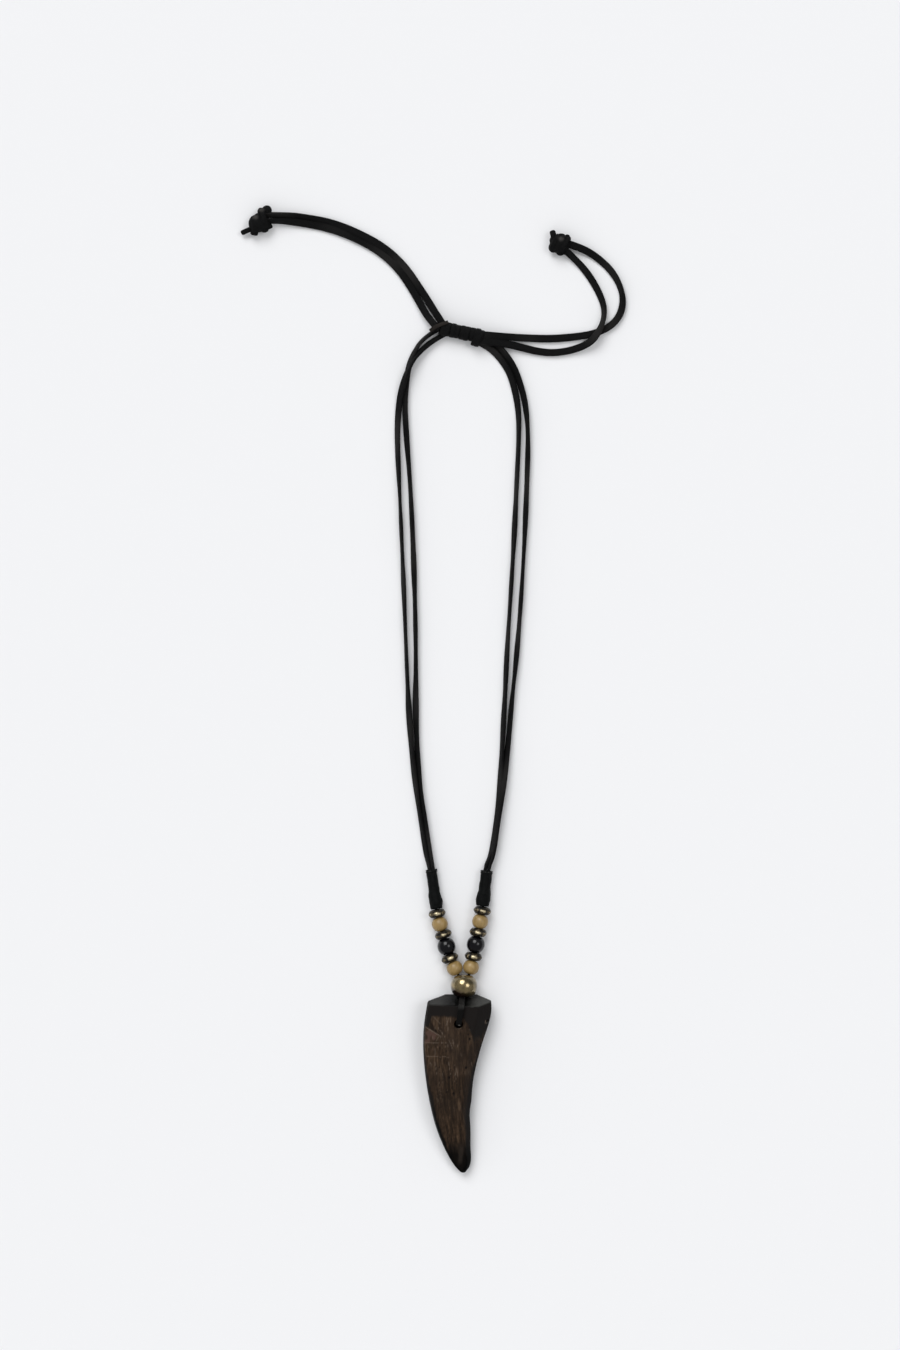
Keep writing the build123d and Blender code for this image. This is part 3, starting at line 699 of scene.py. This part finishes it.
# %% Wound sleeves
# Share along from the lower end, and radius
SLEEVE_RADII = [
    (0, 2.15), (0.04, 2.32), (0.18, 2.6), (0.31, 2.44), (0.45, 2.12), (0.6, 2.04), (0.93, 2.04), (1, 2.06),
]
# Distance and height of the turns of thread, then length and height of the two rings at the top
SLEEVE_PITCH = 0.42
SLEEVE_RIDGE = 0.09
COLLAR_LENGTH = 1.2
COLLAR_RISE = 0.16
# How far the thick part of a sleeve leans towards the middle of the necklace, and how thick each sleeve is
SLEEVE_LEAN = 0.3
SLEEVE_GIRTH = {"left": 1.02, "right": 1.1}
# Points of a sleeve along and round, middle and half length of its thick part as shares, and how far the
# turns start below the solid
SLEEVE_POINTS = (330, 40)
SLEEVE_BULGE = (0.17, 0.14)
SLEEVE_OVERLAP = 0.2


def ridged_sleeve(low, high, lean, girth, seed):
    """Wound sleeve: radius(share) + ridge * |sin| of the climbing angle, plus slow dents and a collar of two
    rings at the top. Holds the places of a dotted stitch between the rings."""
    along, across, up = directions(high - low)
    low = low - along * SLEEVE_OVERLAP * MM
    length = np.linalg.norm(high - low)
    share = np.linspace(0.0, 1.0, SLEEVE_POINTS[0])[:, None]
    angle = circle(SLEEVE_POINTS[1])[None, :]
    waves = np.random.default_rng(seed).uniform(0, 2 * pi, 3)
    climb = share * length / (SLEEVE_PITCH * MM) - angle / (2 * pi)
    ridge = SLEEVE_RIDGE * np.abs(np.sin(pi * climb)) ** 0.7
    dents = 0.07 * np.sin(3 * angle + share * 11 + waves[0]) + 0.05 * np.sin(share * 23 + angle + waves[1])
    from_top = (1 - share) * length / (COLLAR_LENGTH * MM)
    collar = COLLAR_RISE * np.abs(np.sin(2 * pi * np.minimum(from_top, 1.0))) ** 0.5
    radius = (smooth_steps(share[:, 0], SLEEVE_RADII)[:, None] * girth + ridge + dents + collar) * MM
    bow = np.exp(-(((share - SLEEVE_BULGE[0]) / SLEEVE_BULGE[1]) ** 2)) * lean * MM
    middle = low + (high - low) * share[..., None] + across * bow[..., None]
    grid = keep_above_floor(middle + swung(across, up, angle) * radius[..., None])
    mesh = mesh_from_grid(grid, spans=(40.0, 1.0))
    stitch = np.exp(-(((from_top - 0.5) / 0.12) ** 2)) * (np.sin(16 * angle) > 0.2)
    hold_values(mesh, "stitch", stitch)
    return mesh


for seed, (side, heading) in enumerate(SLEEVE_HEADINGS.items()):
    lean = SLEEVE_LEAN if side == "left" else -SLEEVE_LEAN
    sleeve = ridged_sleeve(*ends_of(f"{side}_whipping", heading), lean, SLEEVE_GIRTH[side], 20 + seed)
    place(f"{side}_sleeve_wound", sleeve, black_thread, "black_thread", f"{side}_whipping")

# %% [markdown]
# The small beads are turned shapes: a profile goes from one mouth of the bore round the outside to the other mouth
# and back through the bore, and is carried round the bore's axis. The wooden ones are pale with a faint grain, the
# black ones glossy. The spacers are cast rings with six rounded panels round them, so their radius also follows the
# angle. They are dark in the notches and bright on top, partly wear and partly a painted highlight.

# %% Bead finishes
def wood_finish():
    """Pale satin wood: fine grain along the bore darkens the colour in thin lines."""
    look = start_material("pale_wood", Roughness=0.42, Coat_Weight=0.2, Coat_Roughness=0.3)
    lines = grain(look, 900.0, 1.6, (1.0, 0.25, 1.0))
    cloud = grain(look, 140.0, 1.4)
    colour = ramp(look, lines, (0.15, (0.205, 0.134, 0.044)), (0.8, (0.36, 0.245, 0.092)))
    colour = blend(look, spread(look, cloud, 0.0, 0.5), colour, (0.235, 0.145, 0.046))
    return finish(look, colour, (lines, 0.5, 0.36), (lines, 0.00004))


def glaze_finish():
    """Gloss black with the faintest orange-peel unevenness."""
    look = start_material(
        "black_glaze", Roughness=0.2, Specular_IOR_Level=0.3, Coat_Weight=0.12, Coat_Roughness=0.12,
    )
    cloud = grain(look, 500.0, 1.2)
    colour = ramp(look, cloud, (0.2, (0.001, 0.001, 0.002)), (0.8, (0.004, 0.004, 0.005)))
    return finish(look, colour, (cloud, 0.14, 0.26), (cloud, 0.00002))


def gold_finish():
    """Polished gold-coloured metal in faint clouds, turning dark red-brown where the bead holds a painted dark
    reflection.
    """
    look = start_material("gold_metal", Metallic=0.82, Roughness=0.2, Coat_Weight=1.0, Coat_Roughness=0.08)
    cloud = grain(look, 260.0, 2.0)
    fine = grain(look, 1400.0, 1.4)
    colour = ramp(look, cloud, (0.3, (0.095, 0.073, 0.030)), (0.7, (0.315, 0.24, 0.115)))
    colour = blend(look, attribute(look, "worn"), colour, (0.03, 0.011, 0.007))
    return finish(look, colour, (fine, 0.14, 0.28), (fine, 0.00002))


def spacer_finish():
    """Dark cast metal made bright on its high places, partly wear and partly a painted highlight, with specks of
    dark left in them.
    """
    look = start_material("dark_metal", Metallic=0.6, Roughness=0.35)
    fine = grain(look, 1000.0, 3.0)
    specked = add_node(
        look, "ShaderNodeMath", {"operation": "MULTIPLY_ADD"}, _0=fine, _1=0.5, _2=attribute(look, "worn"),
    )
    colour = ramp(
        look, specked.outputs[0],
        (0.4, (0.006, 0.0056, 0.005)), (0.68, (0.13, 0.10, 0.055)), (1.0, (0.70, 0.61, 0.40)),
    )
    return finish(look, colour, (fine, 0.25, 0.5), (fine, 0.00004))


pale_wood = wood_finish()
black_glaze = glaze_finish()
gold_metal = gold_finish()
dark_metal = spacer_finish()

# %% Bead shapes
BORE = 1.9
# Headings of the bores in degrees
STRINGS = {
    "left_wood_bead_lower": 118, "left_spacer_lower": 112, "left_black_bead": 103,
    "left_spacer_middle": 110, "left_wood_bead_upper": 107, "left_spacer_upper": 101,
    "right_wood_bead_lower": 76, "right_spacer_lower": 81, "right_black_bead": 78,
    "right_spacer_middle": 81, "right_wood_bead_upper": 78, "right_spacer_upper": 81,
}
# How much fuller than their solids the black beads and the spacers look, and how much longer the spacers
BLACK_GIRTH = 1.04
SPACER_GIRTH = 1.05
SPACER_STRETCH = 1.08
# Panels of a spacer, and points round it
SPACER_PANELS = 6
SPACER_COLUMNS = 144
# Share of the radius that the panels stand out by, and of the length that they reach to each side
PANEL_RISE = 0.16
PANEL_REACH = 0.28


def turned_grid(centre, heading, radii, heights, columns=56):
    """Grid of a profile carried round a level axis: centre + way * height + (across cos + up sin) * radius, kept
    above the floor. Radii are an array of the profile, or of the profile by the angle round."""
    way = level_way(heading)
    _, across, up = directions(way)
    radii = radii if radii.ndim == 2 else radii[:, None]
    around = swung(across, up, circle(columns))
    return keep_above_floor(centre + way * heights[:, None, None] + around * radii[..., None])


def ring_mesh(grid):
    """Mesh of a grid whose rows also close on themselves, as a drilled bead's do."""
    rows, columns = grid.shape[:2]
    row, column = np.meshgrid(np.arange(rows), np.arange(columns), indexing="ij")
    mesh = bpy.data.meshes.new("ring")
    mesh.from_pydata(grid.reshape(-1, 3).tolist(), [], grid_quads(row, column, rows, columns))
    mesh.shade_smooth()
    fix_normals(mesh)
    return mesh


def round_profile(diameter, length, bore, steps=34):
    """Outside from one mouth to the other, then back through the bore: heights and radii. The outside is half
    an ellipse that stands on the bore."""
    angle = np.linspace(-pi / 2, pi / 2, steps)
    heights = length / 2 * np.sin(angle)
    radii = bore / 2 + (diameter - bore) / 2 * np.cos(angle)
    inner = np.linspace(length / 2 * 0.96, -length / 2 * 0.96, 6)
    return np.concatenate([heights, inner]), np.concatenate([radii, np.full(6, bore / 2 * 0.97)])


def bead_size(node, heading):
    """Middle, length along the bore and height of a bead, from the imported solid."""
    points = read_points(nodes[node].data)
    low, high = points.min(0), points.max(0)
    reach = points @ level_way(heading)
    return (low + high) / 2, reach.max() - reach.min(), high[2] - low[2]


def make_round_bead(node, heading, material, slot, girth=1.0):
    """Round drilled bead in the place of its solid, a little fuller across where girth says so."""
    centre, length, diameter = bead_size(node, heading)
    heights, radii = round_profile(diameter * girth, length, BORE * MM)
    mesh = ring_mesh(turned_grid(centre, heading, radii, heights))
    place(f"{node}_turned", mesh, material, slot, node)


def make_spacer(node, heading, seed):
    """Cast spacer ring: rounded panels with a notch between each two, each panel brightened by its own amount, from
    radius = core + reach * swell(height) * (1 - rise + rise * panel(angle) * raised(height)). It is bright on the
    panels that face up or down, wear with a painted highlight, with a painted highlight near each end, and dark at
    the sides and in the notches."""
    centre, length, diameter = bead_size(node, heading)
    angle = np.linspace(-pi / 2, pi / 2, 40)
    height = length / 2 * np.sin(angle) * SPACER_STRETCH
    swell = np.cos(angle) ** 0.42
    around = circle(SPACER_COLUMNS)
    chance = np.random.default_rng(seed)
    turned = (around - pi / 2) * SPACER_PANELS / 2 + chance.uniform(-0.4, 0.4)
    number = np.floor(turned / pi + 0.5).astype(int) % SPACER_PANELS
    shine = chance.uniform(0.55, 1.0, SPACER_PANELS)[number]
    panel = np.abs(np.cos(turned)) ** 0.6
    raised = np.exp(-((height / length / PANEL_REACH) ** 2))[:, None]
    core = BORE * MM / 2
    reach = diameter * SPACER_GIRTH / 2 - core
    radii = core + reach * swell[:, None] * (1 - PANEL_RISE + PANEL_RISE * panel * raised)
    inner = np.linspace(length / 2 * 0.9, -length / 2 * 0.9, 5)
    heights = np.concatenate([height, inner])
    all_radii = np.concatenate([radii, np.full((5, SPACER_COLUMNS), core * 0.97)])
    mesh = ring_mesh(turned_grid(centre, heading, all_radii, heights, SPACER_COLUMNS))
    # Wear on the raised panels, brightest where they face up or down as a painted highlight, and painted highlights
    # near both ends.
    wear_and_painted_highlight = panel * shine * raised * np.abs(np.sin(around))
    painted_rim_highlights = np.exp(-(((np.abs(height) / length - 0.44) / 0.05) ** 2))[:, None] * 0.25
    hold_values(mesh, "worn", np.maximum(wear_and_painted_highlight, painted_rim_highlights))
    place(f"{node}_cast", mesh, dark_metal, "dark_metal", node)


for seed, (node, heading) in enumerate(STRINGS.items()):
    if "spacer" in node:
        make_spacer(node, heading, 40 + seed)
    elif "wood" in node:
        make_round_bead(node, heading, pale_wood, "pale_wood")
    else:
        make_round_bead(node, heading, black_glaze, "black_glaze", BLACK_GIRTH)

# %% [markdown]
# The large bead is polished metal, gold above and painted dark red-brown where it meets the horn and up its left
# side, a painted dark reflection. This painted reflection is a value held at each point that grows towards the
# bead's lower end and its left side.

# %% Metal bead
BRASS_BORE = 4.0
BRASS_HEADING = 90.0
BRASS_COLUMNS = 96
# How much wider and longer than its solid the bead looks
BRASS_FULLNESS = (1.03, 1.05)

centre, length, diameter = bead_size("pendant_bead", BRASS_HEADING)
heights, radii = round_profile(diameter * BRASS_FULLNESS[0], length * BRASS_FULLNESS[1], BRASS_BORE * MM, steps=60)
brass_mesh = ring_mesh(turned_grid(centre, BRASS_HEADING, radii, heights, BRASS_COLUMNS))
# Painted dark reflection: darker towards the horn and along the left side.
painted_dark_reflection = -heights[:, None] / length - 0.32 * np.cos(circle(BRASS_COLUMNS)) - 0.22
hold_values(brass_mesh, "worn", np.clip(painted_dark_reflection / 0.24, 0, 1) * 0.95)
place("pendant_bead_turned", brass_mesh, gold_metal, "gold_metal", "pendant_bead")

# %% [markdown]
# The pendant is the tip of a horn. It was sawn flat at the top, drilled, and only its cap, edges and tip were
# polished: the broad front was left rough, so it shows brown fibres, pale scratches and small pits. A copy
# of the solid is remade as an even skin of small faces, then each point moves in or out by a rough height
# worked out from its place, and the same heights and masks are held for the material to read.

# %% Horn surface
# Size of the small faces, and where the horn begins and how long it is
HORN_SKIN = 0.32
HORN_TOP = -133.5
HORN_LENGTH = 71.2
# Lower edge of the polished cap: x and y
CAP_EDGE = [
    (-15.5, -146.2), (-14.8, -145.7), (-13.4, -145.2), (-12.7, -143.6), (-12.1, -141.3), (-8.8, -141.7),
    (-4.4, -141.7), (0.6, -142.2), (2.6, -144.9), (3.1, -146.9), (5.1, -150.9), (7.6, -151.4), (9, -148.6),
    (12, -146.5),
]
# Width of the dark polished strip along the left and the right edge: y and width
LEFT_STRIP = [(-205, 1.6), (-175, 1.8), (-162, 0.9), (-150, 0.5), (-133, 0.8)]
RIGHT_STRIP = [(-205, 2.2), (-180, 1.7), (-163, 1.2), (-154, 0.3), (-133, 0.2)]
# Short pale scratches: first x and y, last x and y
SCRATCHES = [
    (-11.5, -141.6, -8.7, -144.6), (-5.3, -142.3, -6.4, -145.1), (-8.8, -147, -7.7, -148.6),
    (-5.2, -151, -4.4, -153), (-4.4, -153, -3.8, -154.6), (-3.6, -150.8, -3.2, -153.6),
    (-10.9, -154.2, -10.6, -157.4), (-2.4, -162.2, -2.9, -165.2), (-9.2, -149.6, -10.3, -151.4),
]
HORN_HOLE = (-1.4, -144.7)
HORN_HOLE_RADIUS = 1.7
# Larger pits: x and y. Level scratches on the left half: y, and where they fade out
PITS = [(1.6, -162), (3, -150.5), (-3.4, -172.4), (-5.2, -166)]
LEVEL_SCRATCHES = [(-152.6, 2), (-158.1, 3.5)]


def value_noise(x, y, seed):
    """Smooth random field: random numbers on a square grid, eased between the four corners of each cell."""
    table = np.random.default_rng(seed).uniform(0, 1, (256, 256))
    cell_x, cell_y = np.floor(x).astype(int), np.floor(y).astype(int)
    ease_x, ease_y = step(x - cell_x), step(y - cell_y)
    corners = [[table[(cell_x + i) % 256, (cell_y + j) % 256] for j in (0, 1)] for i in (0, 1)]
    near, far = (low * (1 - ease_y) + high * ease_y for low, high in corners)
    return near * (1 - ease_x) + far * ease_x


def from_line(first_x, first_y, last_x, last_y):
    """Distance of each point of the horn from a straight line between two places."""
    way_x, way_y = last_x - first_x, last_y - first_y
    share = np.clip(((x - first_x) * way_x + (y - first_y) * way_y) / (way_x**2 + way_y**2), 0, 1)
    return np.hypot(x - first_x - share * way_x, y - first_y - share * way_y)


def horn_copy():
    """Even skin over a welded copy of the horn's solid."""
    mesh = nodes["horn_pendant"].data.copy()
    fix_normals(mesh, weld=0.002 * MM)
    horn = add_object("horn_polished", mesh)
    skin = horn.modifiers.new("skin", "REMESH")
    skin.mode = "VOXEL"
    skin.voxel_size = HORN_SKIN * MM
    soften = horn.modifiers.new("soften", "SMOOTH")
    soften.factor = 0.5
    soften.iterations = 3
    smooth = bpy.data.meshes.new_from_object(horn.evaluated_get(bpy.context.evaluated_depsgraph_get()))
    bpy.data.objects.remove(horn)
    return smooth


horn_mesh = horn_copy()
points, normals = read_points(horn_mesh), read_points(horn_mesh, "normal")
x, y, _ = (points / MM).T
# Edges of the horn as seen from above, found in narrow bands along it
row = np.round((y - y.min()) / 0.5).astype(int)
left_edge = np.full(row.max() + 1, np.inf)
right_edge = -left_edge
np.minimum.at(left_edge, row, x)
np.maximum.at(right_edge, row, x)
from_left, from_right = x - left_edge[row], right_edge[row] - x
# The horn bows to the left, so its fibres bow with it
down = (HORN_TOP - y) / HORN_LENGTH
fibre_x = x - 7.5 * down**2 + 2.0 * down


def streaks(across, along, seed):
    """Random field that follows the fibres, with so many cells to a millimetre across and along."""
    return value_noise(fibre_x * across, y * along, seed)


# Where the surface is rough: below the cap, between the strips and above the tip
ragged = streaks(1.3, 0.35, 1) * 0.6 + streaks(3.1, 0.8, 2) * 0.4 - 0.5
above_cap = y - np.interp(x, *np.array(CAP_EDGE).T)
on_facet = step(x, 2.0, 4.5)
cap = np.clip((above_cap + ragged * (1.2 + 2.4 * on_facet)) / (0.9 + 2.0 * on_facet) + 0.6, 0, 1)
strips = 0.0
for widths, distance in ((LEFT_STRIP, from_left), (RIGHT_STRIP, from_right)):
    strips = np.maximum(strips, step(np.interp(y, *np.array(widths).T) - distance + ragged * 0.8, -0.5, 0.5))
tip = step(down + ragged * 0.06, 0.80, 0.90)
rough = step(normals[:, 2], 0.12, 0.35) * (1 - cap) * (1 - strips) * (1 - tip * 0.93)
# A pale line slants down from the left edge: the horn is darker above it and reddish below
above_slant = (y + 146.0 + 0.6 * (x + 14.4)) * 0.86
shade = step(above_slant, 0.0, 0.4) * step((-8.6 - x) * 0.9 - above_slant, 0.0, 0.9)
slant = step(0.2 - np.abs(above_slant), 0.0, 0.15) * step(-x, 8.4, 9.4)
blush = step(value_noise(x * 0.9, y * 0.6, 9) * 1.2 - np.hypot((x + 12.6) / 2.6, (y + 148.4) / 3.4) * 0.5, 0.0, 0.3)
blush *= step(-above_slant, -0.4, 0.6) * (1 - cap)
fibres = streaks(2.6, 0.22, 3) * 0.45 + streaks(6.0, 0.5, 4) * 0.33 + streaks(11.0, 1.1, 5) * 0.22
fibres += (value_noise(fibre_x * 0.33 + 7, y * 0.13, 14) - 0.5) * 0.3
fibres -= 0.09 * step(down, 0.2, 0.65) + 0.42 * shade
fibres -= 0.1 * step(4.0 - from_right, 0.0, 3.0) * step(down, 0.12, 0.3) * step(down, 0.75, 0.55)
# Scratches: long ones with the fibres, level ones and short strokes
scratches = step(value_noise(fibre_x * 3.7 + y * 0.4, y * 0.28, 6), 0.82, 0.95)
scratches *= step(down, 0.75, 0.3) * (1 - shade)
wander = 0.7 * value_noise(x * 0.7, y * 0 + 5.3, 12) + 0.04 * (x + 12)
cross = sum(
    step(0.16 - np.abs(y - level - wander), 0.0, 0.12) * step(-x, reach, reach + 2.0)
    for level, reach in LEVEL_SCRATCHES
)
strokes = sum(step(0.24 - from_line(*stroke) + ragged * 0.1, 0.0, 0.2) for stroke in SCRATCHES)
marks = np.clip(scratches * 0.5 + cross * 0.4 + slant * 0.8 + strokes * 0.4, 0, 1) * rough
pits = step(value_noise(x * 2.4, y * 1.5, 8), 0.93, 0.98)
for pit_x, pit_y in PITS:
    pits = np.maximum(pits, step(0.55 - np.hypot(x - pit_x, (y - pit_y) * 0.7), 0.0, 0.3))
# Painted highlights under the front hole, at the small hole in the right edge and along the tip. The cap's top face
# is lighter towards both its ends
rim = np.hypot(x - HORN_HOLE[0], y - HORN_HOLE[1]) / HORN_HOLE_RADIUS
glint = step(1.25 - np.abs(rim - 0.9) * 3, 0.5, 1.0) * step(HORN_HOLE[1] - y, 0.6, 1.2)
glint *= step(1.3 - np.abs(x + 1.0), 0.0, 0.8)
side_glint = 0.8 * step(0.55 - np.hypot(x - 9.5, (y + 144.0) * 0.6), 0.0, 0.3)
streak = step(1.3 - np.abs(x + 0.4 - (y + 196) * 0.1), 0.0, 1.0) * step(5.0 - np.abs(y + 197.0), 0.0, 3.0)
dust = cap * step(normals[:, 1], 0.15, 0.3) * step(np.abs(x + 1.5), 2.5, 8.0) * np.where(x > 0, 1.0, 0.45)
dark = np.maximum(cap * step(0.3 - normals[:, 1], 0.0, 0.15), strips * step(x + 0.6 * (y + 190), -8.0, -2.0))
height = (fibres - 0.5) * 0.12 + scratches * 0.04 - pits * 0.16 - cross * 0.05
points += normals * (rough * height * MM)[:, None]
horn_mesh.vertices.foreach_set("co", points.ravel())
horn_mesh.shade_smooth()
smooth_tip = tip * (1 - rough)
for name, values in {
    "rough": rough, "fibres": np.clip(fibres, 0, 1), "blush": blush, "pits": pits * rough, "dust": dust,
    "pale": np.clip(marks + glint + side_glint + streak * 0.08, 0, 1), "band": np.maximum(dark, smooth_tip),
    "tip": smooth_tip * (1 - streak * 0.5),
}.items():
    hold_values(horn_mesh, name, values)
print("horn faces", len(horn_mesh.polygons))

# %% [markdown]
# The horn's material reads those held values. The rough front is brown with darker and lighter fibres, the scratches
# are pale, painted highlights lie under the front hole, at the small side hole and along the tip, and everything
# polished is black with a satin shine. Fine noise adds what is smaller than the faces.

# %% Horn finish
def horn_finish():
    """Polished black horn that turns brown and rough where the held value says so."""
    look = start_material("horn", Roughness=0.3, Specular_IOR_Level=0.08)
    fine = grain(look, 1100.0, 2.2, (1.0, 0.12, 1.0))
    cloud = grain(look, 110.0, 3.4, (1.0, 0.6, 1.0))
    bare = ramp(
        look, attribute(look, "fibres"),
        (0.22, (0.009, 0.0052, 0.003)), (0.5, (0.032, 0.0185, 0.0105)), (0.8, (0.080, 0.050, 0.030)),
    )
    bare = blend(look, spread(look, cloud, 0.0, 0.8), bare, (0.012, 0.0075, 0.0055))
    bare = blend(look, spread(look, fine, 0.0, 0.15), bare, (0.078, 0.052, 0.033))
    bare = blend(look, attribute(look, "blush"), bare, (0.062, 0.035, 0.027))
    bare = blend(look, attribute(look, "pits"), bare, (0.003, 0.002, 0.002))
    polished = ramp(look, cloud, (0.2, (0.001, 0.001, 0.001)), (0.9, (0.004, 0.0038, 0.0036)))
    polished = blend(look, attribute(look, "band"), polished, (0.0088, 0.0071, 0.0065))
    polished = blend(look, attribute(look, "tip"), polished, (0.0004, 0.0002, 0.0002))
    # Lighter grey towards both ends of the cap's top face, more on the right.
    polished = blend(look, attribute(look, "dust"), polished, (0.042, 0.042, 0.039))
    colour = blend(look, attribute(look, "rough"), polished, bare)
    # Pale scratches, with painted highlights under the front hole, at the side hole and along the tip.
    colour = blend(look, attribute(look, "pale"), colour, (0.13, 0.098, 0.075))
    dull = add_node(
        look, "ShaderNodeMath", {"operation": "MAXIMUM"}, _0=attribute(look, "band"), _1=attribute(look, "rough"),
    )
    return finish(look, colour, (dull.outputs[0], 0.42, 0.66), (fine, 0.00005))


place("horn_polished", horn_mesh, horn_finish(), "horn", "horn_pendant")

# %% [markdown]
# The loop that carries the horn and the threads inside the beads are right as solids, so they stay and only
# take a finish. Their fibres read object coordinates, because those meshes have no UV map.

# %% Loop and threads
# Where the loop turns over the front edge of the horn's top, above which it catches more light, and the
# length over which that light fades
STRAP_EDGE = -137.8
STRAP_FADE = 1.2
# Painted highlight where it bends into the front hole: x and y, and its outer and inner radius
STRAP_GLINT = (-1.2, -145.3)
GLINT_RADII = (0.7, 0.2)


def strap_finish():
    """Black lace for pieces without a UV map, painted lighter above the front edge of the horn's top and with a
    painted highlight where it bends into the front hole.
    """
    look = start_material("black_strap", Roughness=0.6, Specular_IOR_Level=0.06)
    where = place_of(look)
    nap = grain(look, 900.0, 1.6, (1.0, 0.3, 1.0))
    height = add_node(look, "ShaderNodeSeparateXYZ", None, Vector=where).outputs["Y"]
    lit = spread(look, height, From_Min=(STRAP_EDGE - STRAP_FADE) * MM, From_Max=STRAP_EDGE * MM)
    worn = ramp(look, nap, (0.2, (0.009, 0.0088, 0.0085)), (0.9, (0.026, 0.025, 0.024)))
    # Painted light: the loop is lighter above the front edge of the horn's top.
    colour = blend(look, lit, (0.0032, 0.003, 0.0029), worn)
    level = add_node(look, "ShaderNodeVectorMath", {"operation": "MULTIPLY"}, _0=where, _1=(1.0, 1.0, 0.0))
    spot = (STRAP_GLINT[0] * MM, STRAP_GLINT[1] * MM, 0.0)
    away = add_node(look, "ShaderNodeVectorMath", {"operation": "DISTANCE"}, _0=level.outputs[0], _1=spot)
    glint = spread(look, away.outputs["Value"], From_Min=GLINT_RADII[0] * MM, From_Max=GLINT_RADII[1] * MM)
    # Painted highlight where the loop bends into the hole.
    colour = blend(look, glint, colour, (0.16, 0.15, 0.14))
    return finish(look, colour, (nap, 0.4, 0.66), (nap, 0.00006))


dress(nodes["pendant_loop"].data, strap_finish())
for side in SLEEVE_HEADINGS:
    dress(nodes[f"{side}_bead_thread"].data, black_thread)

# %% [markdown]
# A pale floor and soft studio light. The key comes from the top of the picture, so soft shadows fall below the
# pieces, and a weaker light from the right makes the second small highlight on each bead. Two very wide fills
# keep the floor even, and the surround is a dim white.

# %% Floor and light
FLOOR_SIZE = 24.0
# Each sun: the side it shines from, strength, width in degrees, and whether shiny surfaces mirror it
SUNS = {
    "key": ((-0.28, 0.7, 0.8), 1.83, 38.0, True),
    "side": ((0.5, 0.15, 0.85), 0.55, 26.0, True),
    "left_fill": ((-0.9, -0.2, 0.7), 0.75, 90.0, False),
    "near_fill": ((0.2, -0.9, 0.8), 0.7, 90.0, False),
}
SURROUND = 0.26

floor_mesh = bpy.data.meshes.new("floor")
corners = np.array([[-1, -1], [1, -1], [1, 1], [-1, 1]]) * FLOOR_SIZE / 2
floor_mesh.from_pydata([(*corner, 0.0) for corner in corners], [], [(0, 1, 2, 3)])
dress(floor_mesh, start_material(
    "pale_floor", Roughness=0.7, Base_Color=(0.80, 0.806, 0.822, 1.0), Specular_IOR_Level=0.2,
))
add_object("floor", floor_mesh)

scene.view_settings.view_transform = "Standard"
scene.world = bpy.data.worlds.new("surround")
scene.world.use_nodes = True
background = scene.world.node_tree.nodes["Background"].inputs
background["Color"].default_value = (1.0, 1.0, 1.0, 1.0)
background["Strength"].default_value = SURROUND
for name, (shines_from, strength, width, mirrored) in SUNS.items():
    sun = bpy.data.lights.new(name, "SUN")
    sun.energy = strength
    sun.angle = radians(width)
    light = add_object(name, sun)
    light.location = shines_from
    light.rotation_euler = (-Vector(shines_from)).to_track_quat("-Z", "Y").to_euler()
    light.visible_glossy = mirrored
